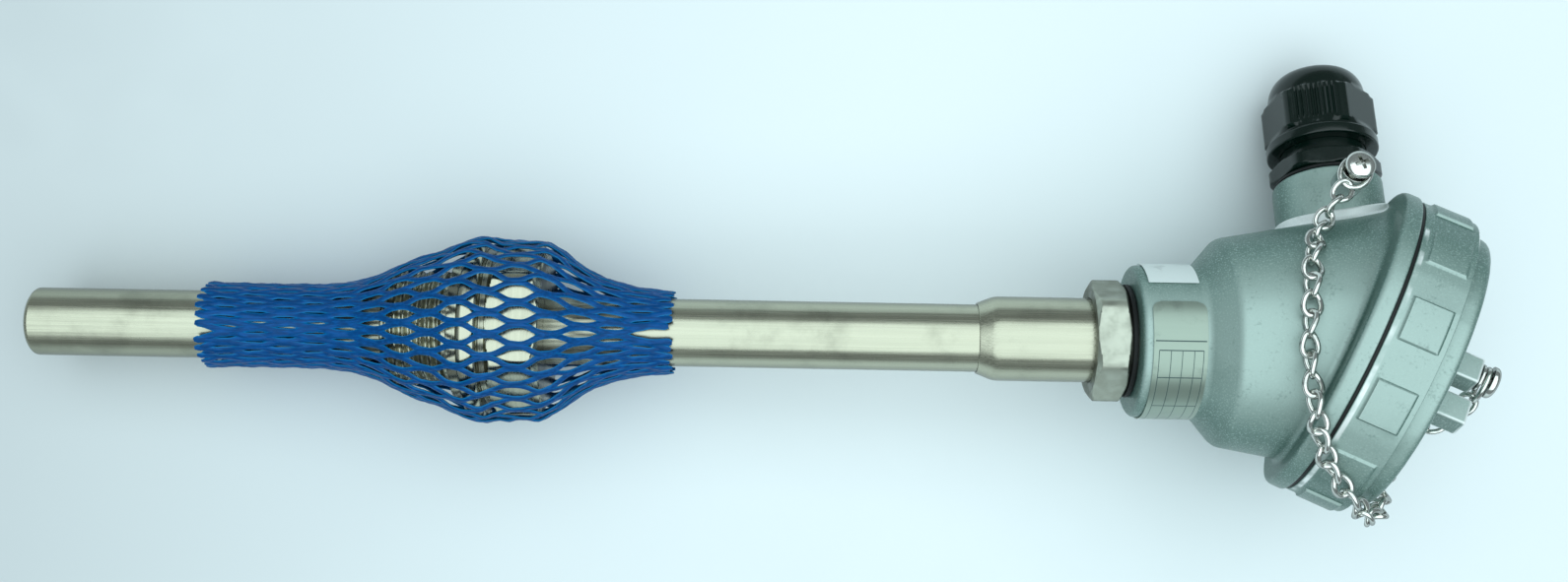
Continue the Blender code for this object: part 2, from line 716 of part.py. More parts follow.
def cap_seal(finish, parent):
    half = SEAL_THICKNESS / 2
    outer = FLANGE_RADIUS - SEAL_INSET
    inner = outer - SEAL_WIDTH
    profile = [(-half, inner), (-half, outer), (half, outer), (half, inner)]
    return turned("cap_seal", profile, even_angles(HEAD_SIDES), finish, parent)


def pad_angles():
    """Ring angles with close pairs at the flanks of the grip pads."""
    pitch = 360.0 / PAD_COUNT
    half = PAD_SPAN / 2
    places = (-half - PAD_FLANK, -half, half, half + PAD_FLANK, pitch / 2)
    return [PAD_PHASE + pitch * pad + place for pad in range(PAD_COUNT) for place in places]


def pad_limit(x, angle):
    pitch = 360.0 / PAD_COUNT
    offset = abs((angle - PAD_PHASE + pitch / 2) % pitch - pitch / 2)
    return CAP_BAND_RADIUS + (PAD_HEIGHT if offset < (PAD_SPAN + PAD_FLANK) / 2 else 0.0)


def cap(finish, parent):
    """The screw cap: a hollow turned cap with a threaded skirt, grip pads and two square posts."""
    skirt = MOUTH_RADIUS - THREAD_GAP
    hollow = skirt - CAP_WALL
    skirt_end = -CAP_SKIRT_LENGTH
    pad_top = CAP_BAND_RADIUS + PAD_HEIGHT
    profile = [
        (CAP_TOP, 0),
        (CAP_TOP, CAP_TIER_RADIUS - CAP_TIER_EDGE),
        (CAP_TOP - CAP_TIER_EDGE * ARC_SHARE, CAP_TIER_RADIUS - CAP_TIER_EDGE * ARC_SHARE),
        (CAP_TOP - CAP_TIER_EDGE, CAP_TIER_RADIUS),
        (CAP_BAND_END, CAP_TIER_RADIUS),
        (CAP_BAND_END, CAP_BAND_RADIUS - CAP_BAND_EDGE),
        (CAP_BAND_END - CAP_BAND_EDGE, CAP_BAND_RADIUS),
        (CAP_BAND_END - CAP_BAND_EDGE - PAD_HEIGHT / 2, pad_top),
        (CAP_FACE + CAP_BAND_EDGE, pad_top),
        (CAP_FACE, CAP_BAND_RADIUS - CAP_BAND_EDGE),
        (CAP_FACE, skirt),
        (skirt_end, skirt),
        (skirt_end, hollow),
        (CAP_TOP - CAP_WALL, hollow),
        (CAP_TOP - CAP_WALL, 0),
    ]
    body = turned("cap", profile, pad_angles(), finish, parent, pad_limit)
    half = POST_SIDE / 2
    for side, name in ((1, "post_near_gland"), (-1, "post_far")):
        middle = side * POST_SPACING / 2
        low = (CAP_TOP - CAP_WALL / 2, middle - half, -half)
        high = (POST_END, middle + half, half)
        post = box(name, low, high, finish, parent, POST_CHAMFER)
        post.matrix_basis = Matrix.Rotation(math.radians(POST_ANGLE), 4, "X")
        combine(body, post, "UNION")
    hole = screw_hole("post_hole", POST_END, CHAIN_SCREW_DEPTH, CHAIN_SCREW_SHANK, finish, parent)
    hole.matrix_basis = offset_matrix(POST_SPACING / 2, POST_ANGLE)
    return combine(body, hole, "DIFFERENCE")


def foil(name, margins, start, end, finish, parent):
    """A thin curved sheet on the neck, between two angles, with margins from the neck's ends."""
    step = 360.0 / HEAD_SIDES
    count = round((end - start) / step)
    inner = NECK_RADIUS + FOIL_GAP
    outer = inner + PLATE_THICKNESS
    low = NECK_START + NECK_EDGE + margins[0]
    high = NECK_END - margins[1]
    rings = []
    for place in range(count + 1):
        turn = math.radians(start + step * place)
        rows = [(low, inner), (low, outer), (high, outer), (high, inner)]
        rings.append([Vector((x, r * math.cos(turn), r * math.sin(turn))) for x, r in rows])
    middle_first = [sum(rings[0], Vector()) / 4]
    middle_last = [sum(rings[-1], Vector()) / 4]
    return skin(name, [middle_first] + rings + [middle_last], finish, parent)


def gland_gasket(finish, parent):
    start = BOSS_REACH + SEAT_GAP
    end = start + GLAND_GASKET_THICKNESS
    inner = BOSS_BORE_RADIUS
    profile = [(start, inner), (start, GLAND_GASKET_RADIUS), (end, GLAND_GASKET_RADIUS), (end, inner)]
    return turned("gland_gasket", profile, even_angles(STEM_SIDES), finish, parent)


def gland_body(finish, parent):
    spigot = BOSS_BORE_RADIUS - THREAD_GAP
    spigot_start = GLAND_HEX_START - GLAND_SPIGOT_LENGTH
    profile = [(spigot_start, GLAND_BORE_RADIUS), (spigot_start, spigot)]
    profile += hex_profile(GLAND_HEX_START, GLAND_HEX_END, GLAND_FLATS, spigot, GLAND_NECK_RADIUS)
    profile += [(GLAND_NECK_END, GLAND_NECK_RADIUS), (GLAND_NECK_END, GLAND_BORE_RADIUS)]
    limit = hexagon(GLAND_FLATS, GLAND_HEX_PHASE, GLAND_HEX_START, GLAND_HEX_END)
    angles = even_angles(STEM_SIDES, GLAND_HEX_PHASE)
    return turned("gland_body", profile, angles, finish, parent, limit)


def gland_nut_limit(x, angle):
    """A hexagon whose alternate faces carry fine ribs along the nut."""
    if not GLAND_NUT_HEX_START <= x <= GLAND_DOME_START:
        return math.inf
    face = math.floor((angle - GLAND_NUT_PHASE + 30.0) / 60.0)
    offset = math.radians(angle - GLAND_NUT_PHASE - 60.0 * face)
    distance = GLAND_FLATS / 2
    if face % 2 == 1:
        across = distance * math.tan(offset)
        wave = abs((across / GLAND_RIB_PITCH) % 1.0 - 0.5) * 2
        distance -= GLAND_RIB_DEPTH * (1 - wave)
    return distance / math.cos(offset)


def gland_nut_angles():
    """Ring angles at the crests and roots of the ribs, and at a few places on the plain faces."""
    angles = []
    ribs = math.floor(GLAND_FLATS / 2 * math.tan(math.radians(30)) / GLAND_RIB_PITCH * 2)
    for face in range(6):
        middle = GLAND_NUT_PHASE + 60.0 * face
        if face % 2 == 1:
            places = [rib * GLAND_RIB_PITCH / 2 for rib in range(-ribs, ribs + 1)]
            offsets = [math.degrees(math.atan(place / (GLAND_FLATS / 2))) for place in places]
        else:
            offsets = [-20.0, -10.0, 0.0, 10.0, 20.0]
        angles += [middle - 30.0] + [middle + offset for offset in offsets]
    return angles


def gland_nut(finish, parent):
    """The dome nut: a round skirt, a hexagon and a dome with the cable's mouth."""
    bore = GLAND_NECK_RADIUS + THREAD_GAP
    corner = GLAND_FLATS / 2 / math.cos(math.radians(30))
    dome_base = GLAND_FLATS / 2 - GLAND_RIB_DEPTH
    edge = GLAND_NUT_SKIRT_LENGTH / 6
    claw_seat = GLAND_SEAL_RADIUS + SEAT_GAP + CLAW_WALL + SEAT_GAP
    profile = [
        (GLAND_NUT_START, bore),
        (GLAND_NUT_START, GLAND_NUT_SKIRT_RADIUS),
        (GLAND_NUT_HEX_START - edge, GLAND_NUT_SKIRT_RADIUS),
        (GLAND_NUT_HEX_START, corner),
        (GLAND_DOME_START - edge, corner),
    ]
    end = math.radians(GLAND_DOME_ARC)
    for step in range(DOME_STEPS + 1):
        arc = end * step / DOME_STEPS
        x = GLAND_DOME_START + GLAND_NUT_DOME_LENGTH * math.sin(arc) / math.sin(end)
        drop = (1 - math.cos(arc)) / (1 - math.cos(end))
        profile.append((x, dome_base + (GLAND_NUT_LIP_RADIUS - dome_base) * drop))
    profile += [
        (GLAND_MOUTH, GLAND_NUT_MOUTH_RADIUS),
        (GLAND_MOUTH - GLAND_NUT_LIP_DEPTH, GLAND_NUT_MOUTH_RADIUS),
        (GLAND_NECK_END + CLAW_LENGTH + 2 * SEAT_GAP, claw_seat),
        (GLAND_NECK_END + SEAT_GAP, claw_seat),
        (GLAND_NECK_END + SEAT_GAP, bore),
    ]
    return turned("gland_nut", profile, gland_nut_angles(), finish, parent, gland_nut_limit)


def gland_claws(finish, parent):
    """The slotted ring that the nut squeezes on to the cable's seal."""
    inner = GLAND_SEAL_RADIUS + SEAT_GAP
    start = GLAND_NECK_END + SEAT_GAP
    end = start + CLAW_LENGTH
    profile = [(start, inner), (start, inner + CLAW_WALL), (end, inner + CLAW_WALL), (end, inner)]
    claws = turned("gland_claws", profile, even_angles(SMALL_SIDES), finish, parent)
    for number, angle in enumerate(even_angles(CLAW_COUNT // 2), 1):
        low = (start + CLAW_LENGTH / 3, -2 * inner, -CLAW_SLOT / 2)
        high = (end + CLAW_SLOT, 2 * inner, CLAW_SLOT / 2)
        slot = box(f"claw_slot_{number}", low, high, finish, parent)
        slot.matrix_basis = Matrix.Rotation(math.radians(angle / 2), 4, "X")
        combine(claws, slot, "DIFFERENCE")
    return claws


def gland_seal(finish, parent):
    end = GLAND_NECK_END + SEAT_GAP + CLAW_LENGTH
    start = end - GLAND_SEAL_LENGTH
    outer = min(GLAND_SEAL_RADIUS, GLAND_BORE_RADIUS - SEAT_GAP)
    profile = [(start, GLAND_SEAL_BORE), (start, outer), (end, outer), (end, GLAND_SEAL_BORE)]
    return turned("gland_seal", profile, even_angles(SMALL_SIDES), finish, parent)


def pan_screw(name, under_head, reach, shank, head_radius, head_height, finish, parent, place, slots):
    """A slotted pan-head screw along X. Its shank runs back from the underside of the head."""
    end = under_head - reach
    profile = [(end, 0), (end, shank), (under_head, shank), (under_head, head_radius)]
    for arc in SCREW_DOME_ARCS:
        turn = math.radians(arc)
        profile.append((under_head + head_height * math.sin(turn), head_radius * math.cos(turn)))
    profile.append((under_head + head_height, 0))
    screw = turned(name, profile, even_angles(SCREW_SIDES), finish, parent)
    screw.matrix_basis = place
    top = under_head + head_height
    reach_across = head_radius * SCREW_SLOT_SHARE
    half = SCREW_CROSS_WIDTH / 2
    for number, angle in enumerate(slots, 1):
        low = (top - SCREW_CROSS_DEPTH, -reach_across, -half)
        high = (top + SCREW_CROSS_DEPTH, reach_across, half)
        slot = box(f"{name}_slot_{number}", low, high, finish, parent)
        slot.matrix_basis = place @ Matrix.Rotation(math.radians(angle), 4, "X")
        combine(screw, slot, "DIFFERENCE")
    return screw


def washer(name, start, hole, finish, parent, place):
    end = start + WASHER_THICKNESS
    inner = hole + SEAT_GAP
    profile = [(start, inner), (start, WASHER_RADIUS), (end, WASHER_RADIUS), (end, inner)]
    ring_piece = turned(name, profile, even_angles(SMALL_SIDES), finish, parent)
    ring_piece.matrix_basis = place
    return ring_piece


def spline(points, share):
    """A point on a smooth curve through all the points, at a share of its spans."""
    spans = len(points) - 1
    place = min(share * spans, spans - 1e-9)
    i = int(place)
    t = place - i
    before = points[max(i - 1, 0)]
    start, end = points[i], points[i + 1]
    after = points[min(i + 2, spans)]
    pull_in = (end - before) / 2
    pull_out = (after - start) / 2
    cube, square = t**3, t**2
    point = start * (2 * cube - 3 * square + 1) + pull_in * (cube - 2 * square + t)
    return point + end * (3 * square - 2 * cube) + pull_out * (cube - square)


def chain_eyes():
    """The middles and axes of the two eyes under the screw heads, in the stem's axes."""
    rise = SEAT_GAP * 2 + WASHER_THICKNESS + CHAIN_WIRE / 2
    lug = gland_matrix() @ lug_matrix()
    post = tilt_matrix() @ offset_matrix(POST_SPACING / 2, POST_ANGLE)
    eyes = []
    for place, face in ((lug, LUG_REACH), (post, POST_END)):
        middle = place @ Vector((face + rise, 0, 0))
        axis = (place.to_3x3() @ Vector((1, 0, 0))).normalized()
        eyes.append((middle, axis))
    return eyes


def chain_route():
    """Points that the chain's middle line passes, from the lug over the body and the rim to the post."""
    clear = CHAIN_CLEARANCE
    points = [body_cone_ring(depth, clear, [angle])[0] for depth, angle in CHAIN_ON_BODY]
    rim = max(FLANGE_RADIUS, CAP_BAND_RADIUS + PAD_HEIGHT) + clear
    points += [tilted_ring(x, rim, [angle])[0] for x, angle in CHAIN_ON_RIM]
    edge = CAP_TIER_RADIUS
    points += [tilt_matrix() @ Vector((CAP_TOP + x, -edge - y, z)) for x, y, z in CHAIN_OVER_EDGE]
    points += [tilt_matrix() @ Vector((CAP_TOP + x, y, z)) for x, y, z in CHAIN_ON_FACE]
    (lug, _), (post, _) = chain_eyes()
    return [step_from(lug, points[0])] + points + [step_from(post, points[-1])]


def step_from(eye, towards):
    """The first joint of the chain at an eye: half a wire's thickness inside the eye's own wire."""
    reach = CHAIN_EYE_REACH - (CHAIN_WIRE - CHAIN_CONTACT) / 2
    return eye + (towards - eye).normalized() * reach


def chain_joints():
    """Where neighbouring links meet, at equal distances along the route."""
    route = chain_route()
    fine = [spline(route, step / 2000) for step in range(2001)]
    lengths = np.cumsum([0.0] + [(b - a).length for a, b in zip(fine, fine[1:])])
    count = round(lengths[-1] / CHAIN_PITCH)
    joints = []
    for link in range(count + 1):
        place = int(np.searchsorted(lengths, lengths[-1] * link / count))
        joints.append(fine[min(place, len(fine) - 1)])
    return joints


def wire_loop(bm, middle, along, across, half_length, half_width, facet_turn):
    """Adds one closed oval of round wire, whose facets are turned a little about the wire."""
    normal = along.cross(across)
    rows = []
    for step in range(LINK_STEPS):
        turn = 2 * math.pi * step / LINK_STEPS
        centre = middle + along * (half_length * math.cos(turn)) + across * (half_width * math.sin(turn))
        outward = along * (math.cos(turn) / half_length) + across * (math.sin(turn) / half_width)
        outward.normalize()
        row = []
        for side in range(WIRE_SIDES):
            angle = 2 * math.pi * side / WIRE_SIDES + math.radians(facet_turn)
            reach = -outward * math.cos(angle) + normal * math.sin(angle)
            row.append(bm.verts.new(centre + reach * (CHAIN_WIRE / 2)))
        rows.append(row)
    for first, second in zip(rows, rows[1:] + rows[:1]):
        for side in range(WIRE_SIDES):
            after = (side + 1) % WIRE_SIDES
            bm.faces.new((first[side], first[after], second[after], second[side]))


def chain(finish, parent):
    """The curb chain. Its links touch, so alternate links are drawn apart and then joined as one piece."""
    joints = chain_joints()
    head_middle = Vector((GLAND_CENTRE, 0, 0))
    odd, even = bmesh.new(), bmesh.new()
    for number, (start, end) in enumerate(zip(joints, joints[1:])):
        middle = (start + end) / 2
        along = (end - start).normalized()
        outward = middle - head_middle
        outward = (outward - along * outward.dot(along)).normalized()
        twist = CHAIN_TWIST if number % 2 == 0 else -CHAIN_TWIST
        across = Matrix.Rotation(math.radians(twist), 3, along) @ outward
        half_length = ((end - start).length + CHAIN_WIRE - CHAIN_CONTACT) / 2
        half_width = (CHAIN_LINK_WIDTH - CHAIN_WIRE) / 2
        target, facet_turn = (odd, 0.0) if number % 2 == 0 else (even, LINK_FACET_TURN)
        wire_loop(target, middle, along, across, half_length, half_width, facet_turn)
    last_is_odd = len(joints) % 2 == 0
    for (middle, axis), joint, target in zip(
        chain_eyes(), (joints[0], joints[-1]), (even, even if last_is_odd else odd)
    ):
        along = joint - middle
        along = (along - axis * along.dot(axis)).normalized()
        back = CHAIN_SCREW_SHANK + 2 * SEAT_GAP + CHAIN_WIRE / 2
        half_length = (CHAIN_EYE_REACH + back) / 2
        place = middle + along * (CHAIN_EYE_REACH - half_length)
        wire_loop(target, place, along, axis.cross(along), half_length, CHAIN_EYE_WIDTH / 2, LINK_FACET_TURN)
    links = place_mesh("chain", odd, finish, parent)
    return combine(links, place_mesh("chain_other_links", even, finish, parent), "UNION")


def insert_sheath(finish, parent):
    start = TUBE_TIP_WALL + SEAT_GAP
    end = CAVITY_FLOOR + SEAT_GAP + INSERT_FLANGE_THICKNESS
    bore = SHEATH_RADIUS - SHEATH_WALL
    profile = [
        (start, 0),
        (start, SHEATH_RADIUS),
        (end, SHEATH_RADIUS),
        (end, bore),
        (start + SHEATH_TIP_WALL, bore),
        (start + SHEATH_TIP_WALL, 0),
    ]
    return turned("insert_sheath", profile, even_angles(SMALL_SIDES), finish, parent)


def element_start():
    return TUBE_TIP_WALL + SEAT_GAP + SHEATH_TIP_WALL + ELEMENT_INSET


def sensor_element(finish, parent):
    start = element_start()
    end = start + ELEMENT_LENGTH
    profile = [(start, 0), (start, ELEMENT_RADIUS), (end, ELEMENT_RADIUS), (end, 0)]
    return turned("sensor_element", profile, even_angles(SMALL_SIDES), finish, parent)


def ceramic_insulator(finish, parent):
    """The long ceramic rod, with one hole for each lead."""
    start = element_start() + ELEMENT_LENGTH + 4 * SEAT_GAP
    end = CAVITY_FLOOR + SEAT_GAP + INSERT_FLANGE_THICKNESS
    profile = [(start, 0), (start, INSULATOR_RADIUS), (end, INSULATOR_RADIUS), (end, 0)]
    rod = turned("ceramic_insulator", profile, even_angles(SMALL_SIDES), finish, parent)
    for number, angle in enumerate(even_angles(TERMINAL_COUNT, TERMINAL_PHASE), 1):
        past = SEAL_WIDTH
        outline = [
            (start - past, 0),
            (start - past, WIRE_HOLE_RADIUS),
            (end + past, WIRE_HOLE_RADIUS),
            (end + past, 0),
        ]
        hole = turned(f"wire_hole_{number}", outline, even_angles(8, HOLE_PHASE), finish, parent)
        hole.matrix_basis = offset_matrix(WIRE_HOLE_PITCH_RADIUS, angle)
        combine(rod, hole, "DIFFERENCE")
    return rod


def insert_flange(finish, parent):
    """The plate on the floor of the head that carries the insert and the terminal block."""
    start = CAVITY_FLOOR + SEAT_GAP
    end = start + INSERT_FLANGE_THICKNESS
    inner = SHEATH_RADIUS + SEAT_GAP
    profile = [(start, inner), (start, INSERT_FLANGE_RADIUS), (end, INSERT_FLANGE_RADIUS), (end, inner)]
    plate = turned("insert_flange", profile, even_angles(STEM_SIDES), finish, parent)
    return cut_block_holes(plate, "flange_hole", end, INSERT_FLANGE_THICKNESS, finish, parent)


def cut_block_holes(piece, name, face, thickness, finish, parent):
    for number, angle in enumerate(BLOCK_SCREW_ANGLES, 1):
        hole = screw_hole(f"{name}_{number}", face, 2 * thickness, BLOCK_SCREW_SHANK, finish, parent)
        hole.matrix_basis = offset_matrix(BLOCK_SCREW_PITCH_RADIUS, angle)
        combine(piece, hole, "DIFFERENCE")
    return piece


def terminal_block(finish, parent):
    profile = [
        (BLOCK_START, BLOCK_HOLE_RADIUS),
        (BLOCK_START, BLOCK_RADIUS),
        (BLOCK_END - BLOCK_EDGE, BLOCK_RADIUS),
        (BLOCK_END, BLOCK_RADIUS - BLOCK_EDGE),
        (BLOCK_END, BLOCK_HOLE_RADIUS),
    ]
    block = turned("terminal_block", profile, even_angles(STEM_SIDES), finish, parent)
    return cut_block_holes(block, "block_hole", BLOCK_END, BLOCK_THICKNESS, finish, parent)


def terminals(brass, steel, parent):
    """The brass terminals in a circle on the block, each with its clamping screw."""
    low_x = BLOCK_END + SEAT_GAP
    high_x = low_x + TERMINAL_HEIGHT
    half_length = TERMINAL_LENGTH / 2
    half_width = TERMINAL_WIDTH / 2
    for number, angle in enumerate(even_angles(TERMINAL_COUNT, TERMINAL_PHASE), 1):
        turn = Matrix.Rotation(math.radians(angle), 4, "X")
        place = turn @ Matrix.Translation((0, TERMINAL_PITCH_RADIUS, 0))
        low = (low_x, -half_length, -half_width)
        high = (high_x, half_length, half_width)
        piece = box(f"terminal_{number}", low, high, brass, parent, POST_CHAMFER / 2)
        piece.matrix_basis = place
        depth = TERMINAL_SCREW_DEPTH
        hole = screw_hole(f"terminal_hole_{number}", high_x, depth, TERMINAL_SCREW_SHANK, brass, parent)
        hole.matrix_basis = place
        combine(piece, hole, "DIFFERENCE")
        screw_name = f"terminal_screw_{number}"
        reach = depth - SEAT_GAP
        pan_screw(
            screw_name,
            high_x + SEAT_GAP,
            reach,
            TERMINAL_SCREW_SHANK,
            TERMINAL_SCREW_RADIUS,
            TERMINAL_SCREW_HEIGHT,
            steel,
            parent,
            place,
            (TERMINAL_SLOT_ANGLE,),
        )


def block_screws(finish, parent):
    under_head = BLOCK_END + SEAT_GAP
    reach = under_head - CAVITY_FLOOR + BLOCK_SCREW_BITE
    for number, angle in enumerate(BLOCK_SCREW_ANGLES, 1):
        pan_screw(
            f"block_screw_{number}",
            under_head,
            reach,
            BLOCK_SCREW_SHANK,
            BLOCK_SCREW_RADIUS,
            BLOCK_SCREW_HEAD,
            finish,
            parent,
            offset_matrix(BLOCK_SCREW_PITCH_RADIUS, angle),
            (BLOCK_SLOT_ANGLE,),
        )


def lead_wires(finish, parent):
    """One lead for each terminal, from the sensing element through the ceramic rod to the terminal."""
    start = element_start() + ELEMENT_LENGTH + WIRE_GAP
    rod_end = BLOCK_START
    reach = TERMINAL_PITCH_RADIUS - TERMINAL_LENGTH / 2 - WIRE_RADIUS - WIRE_GAP
    height = BLOCK_END + SEAT_GAP + TERMINAL_HEIGHT / 2
    first = WIRE_HOLE_PITCH_RADIUS
    for number, angle in enumerate(even_angles(TERMINAL_COUNT, TERMINAL_PHASE), 1):
        points = [(start, first), (rod_end, first)]
        steps = 7
        for step in range(1, steps + 1):
            share = step / steps
            x = rod_end + (height - rod_end) * math.sin(math.radians(90 * share))
            radius = first + (reach - first) * (1 - math.cos(math.radians(90 * share)))
            points.append((x, radius))
        curve = bpy.data.curves.new(f"lead_wire_{number}", "CURVE")
        curve.dimensions = "3D"
        curve.bevel_depth = WIRE_RADIUS
        curve.bevel_resolution = 1
        curve.use_fill_caps = True
        curve.materials.append(finish)
        spline = curve.splines.new("POLY")
        spline.points.add(len(points) - 1)
        for point, (x, radius) in zip(spline.points, points):
            point.co = (x, radius, 0, 1)
        wire = bpy.data.objects.new(f"lead_wire_{number}", curve)
        bpy.context.collection.objects.link(wire)
        wire.parent = parent
        wire.matrix_basis = Matrix.Rotation(math.radians(angle), 4, "X")


def net_radius(x):
    """The net's outer radius: close on the tube at both ends, and stretched over the fitting between."""
    closed = TUBE_RADIUS + NET_WALL + NET_PLEAT + NET_CLEARANCE
    corner = FITTING_FLATS / 2 / math.cos(math.radians(30))
    widest = max(corner, ROUND_COLLAR_RADIUS) + NET_WALL + NET_CLEARANCE
    thread = THREAD_RADIUS + NET_WALL + NET_CLEARANCE
    collar = SEALING_COLLAR_RADIUS + NET_WALL + NET_CLEARANCE
    places = [(THREAD_START - NET_LEAD, closed)]
    places += [(THREAD_START - ahead, closed + rise) for ahead, rise in NET_OPENING]
    places += [
        (THREAD_START, thread - NET_THREAD_SAG),
        (THREAD_START + THREAD_LENGTH / 2, collar - NET_BRIDGE_SAG),
        (INSERTION_LENGTH, collar + NET_COLLAR_RISE),
        (ROUND_COLLAR_START, widest - NET_RIM_SAG),
        (ROUND_COLLAR_START + ROUND_COLLAR_EDGE, widest),
        (FITTING_END - NET_HEX_MARGIN, widest),
    ]
    places += [(FITTING_END + past, closed + rise) for past, rise in NET_CLOSING]
    places.append((FITTING_END + NET_TAIL, closed - NET_PINCH))
    xs, radii = zip(*places)
    return float(np.interp(x, xs, radii))


def net_sleeve(finish, parent):
    """The stretched net: one wall with rows of lozenge gaps, and pleated ends that close on the tube."""
    bm = bmesh.new()
    flare_start = THREAD_START - NET_FLARE_LEAD + NET_LEAD / 4
    flare_end = FITTING_END + NET_FLARE_TAIL
    rows = NET_OPEN_ROWS + 1
    pitch = (flare_end - flare_start) / rows
    knots = []
    for row in range(rows + 1):
        x = flare_start + pitch * row
        near = (x - pitch * NET_REACH, x, x + pitch * NET_REACH)
        radius = max(net_radius(place) for place in near) - NET_WALL
        shift = 0.5 * (row % 2)
        angles = [360.0 * (place + shift) / NET_CELLS_AROUND for place in range(NET_CELLS_AROUND)]
        knots.append([bm.verts.new(point) for point in ring(x, radius, angles)])
    count = NET_CELLS_AROUND
    cells = []
    for row in range(1, rows):
        for place in range(count):
            left = knots[row][place]
            right = knots[row][(place + 1) % count]
            beside = (place + 1 - (row + 1) % 2) % count
            below = knots[row - 1][beside]
            above = knots[row + 1][beside]
            cells.append(bm.faces.new((left, below, right, above)))
    net_end(bm, knots, 0, flare_start, THREAD_START - NET_LEAD)
    net_end(bm, knots, rows, flare_end, FITTING_END + NET_TAIL)
    bmesh.ops.recalc_face_normals(bm, faces=bm.faces)
    bmesh.ops.inset_individual(bm, faces=cells, thickness=NET_STRAND / 2, use_even_offset=True)
    bmesh.ops.delete(bm, geom=cells, context="FACES")
    net = place_mesh("net_sleeve", bm, finish, parent)
    wall = net.modifiers.new("wall", "SOLIDIFY")
    wall.thickness = NET_WALL
    wall.offset = 1.0
    wall.use_even_offset = False
    return net


def net_end(bm, knots, row, start, end):
    """The pleated end of the net beyond its last row of gaps: ridges that run along the tube."""
    count = NET_CELLS_AROUND
    inner_row = knots[1] if row == 0 else knots[row - 1]
    edge_row = knots[row]
    shift = 0.5 * (row % 2)
    steps = 3
    rings = []
    for step in range(steps + 1):
        x = start + (end - start) * step / steps
        points = []
        for place in range(2 * count):
            angle = 360.0 * (place / 2 + shift) / count
            valley = NET_PLEAT if place % 2 else 0.0
            points += ring(x, net_radius(x) - NET_WALL - valley, [angle])
        rings.append(points)
    verts = [[bm.verts.new(point) for point in points] for points in rings[1:]]
    for place in range(count):
        left = edge_row[place]
        right = edge_row[(place + 1) % count]
        tip = inner_row[(place + row % 2) % count]
        bm.faces.new((left, right, tip))
        ridge = verts[0][2 * place]
        valley = verts[0][2 * place + 1]
        after = verts[0][(2 * place + 2) % (2 * count)]
        bm.faces.new((left, ridge, valley))
        bm.faces.new((left, valley, right))
        bm.faces.new((right, valley, after))
    for lower, upper in zip(verts, verts[1:]):
        for place in range(2 * count):
            after = (place + 1) % (2 * count)
            bm.faces.new((lower[place], lower[after], upper[after], upper[place]))


def finishes():
    return {
        "steel": material("steel", (0.62, 0.62, 0.58), 0.28, 1.0),
        "bright_steel": material("bright_steel", (0.68, 0.68, 0.66), 0.18, 1.0),
        "zinc": material("zinc", (0.64, 0.65, 0.58), 0.38, 0.8),
        "paint": material("paint", (0.32, 0.47, 0.45), 0.45, 0.0),
        "nylon": material("nylon", (0.015, 0.03, 0.03), 0.3, 0.0),
        "rubber": material("rubber", (0.02, 0.02, 0.02), 0.7, 0.0),
        "net": material("net", (0.0, 0.1, 0.45), 0.35, 0.0),
        "foil": material("foil", (0.6, 0.63, 0.6), 0.35, 0.6),
        "paper": material("paper", (0.75, 0.78, 0.76), 0.6, 0.0),
        "ceramic": material("ceramic", (0.8, 0.78, 0.72), 0.5, 0.0),
        "brass": material("brass", (0.72, 0.52, 0.2), 0.3, 1.0),
        "copper": material("copper", (0.7, 0.65, 0.6), 0.3, 1.0),
    }


def main():
    clear_scene()
    finish = finishes()
    rest = frame_empty("rest_frame", Matrix.Identity(4))
    cap_frame = frame_empty("cap_axis", tilt_matrix(), rest)
    gland_frame = frame_empty("gland_axis", gland_matrix(), rest)

    protection_tube(finish["steel"], rest)
    process_fitting(finish["steel"], rest)
    net = net_sleeve(finish["net"], rest)
    neck_sleeve(finish["steel"], rest)
    neck_nut(finish["zinc"], rest)
    neck_gasket(finish["rubber"], rest)
    casting = head_body(finish["paint"], rest, gland_frame)
    cap_seal(finish["rubber"], cap_frame)
    lid = cap(finish["paint"], cap_frame)
    foil("nameplate", (PLATE_MARGIN, PLATE_MARGIN), PLATE_START, PLATE_END, finish["foil"], rest)
    margins = (PLATE_MARGIN, STICKER_MARGIN)
    foil("neck_sticker", margins, STICKER_START, STICKER_END, finish["paper"], rest)

    gland_gasket(finish["rubber"], gland_frame)
    gland_body(finish["nylon"], gland_frame)
    nut = gland_nut(finish["nylon"], gland_frame)
    gland_claws(finish["nylon"], gland_frame)
    gland_seal(finish["rubber"], gland_frame)

    lug_place = lug_matrix()
    post_place = offset_matrix(POST_SPACING / 2, POST_ANGLE)
    for side, face, radius, height, frame, place in (
        ("head", LUG_REACH, HEAD_SCREW_RADIUS, HEAD_SCREW_HEIGHT, gland_frame, lug_place),
        ("cap", POST_END, CAP_SCREW_RADIUS, CAP_SCREW_HEIGHT, cap_frame, post_place),
    ):
        shank = CHAIN_SCREW_SHANK
        under_head = face + STACK_HEIGHT
        reach = STACK_HEIGHT + CHAIN_SCREW_DEPTH - SEAT_GAP
        steel = finish["bright_steel"]
        washer(f"{side}_chain_washer", face + SEAT_GAP, shank, steel, frame, place)
        name = f"{side}_chain_screw"
        pan_screw(name, under_head, reach, shank, radius, height, steel, frame, place, CROSS_ANGLES)

    chain(finish["bright_steel"], rest)
    insert_sheath(finish["steel"], rest)
    sensor_element(finish["ceramic"], rest)
    ceramic_insulator(finish["ceramic"], rest)
    insert_flange(finish["steel"], rest)
    terminal_block(finish["ceramic"], rest)
    terminals(finish["brass"], finish["steel"], rest)
    block_screws(finish["steel"], rest)
    lead_wires(finish["copper"], rest)
    lay_down(rest, ((net,), (lid, casting), (nut,)))


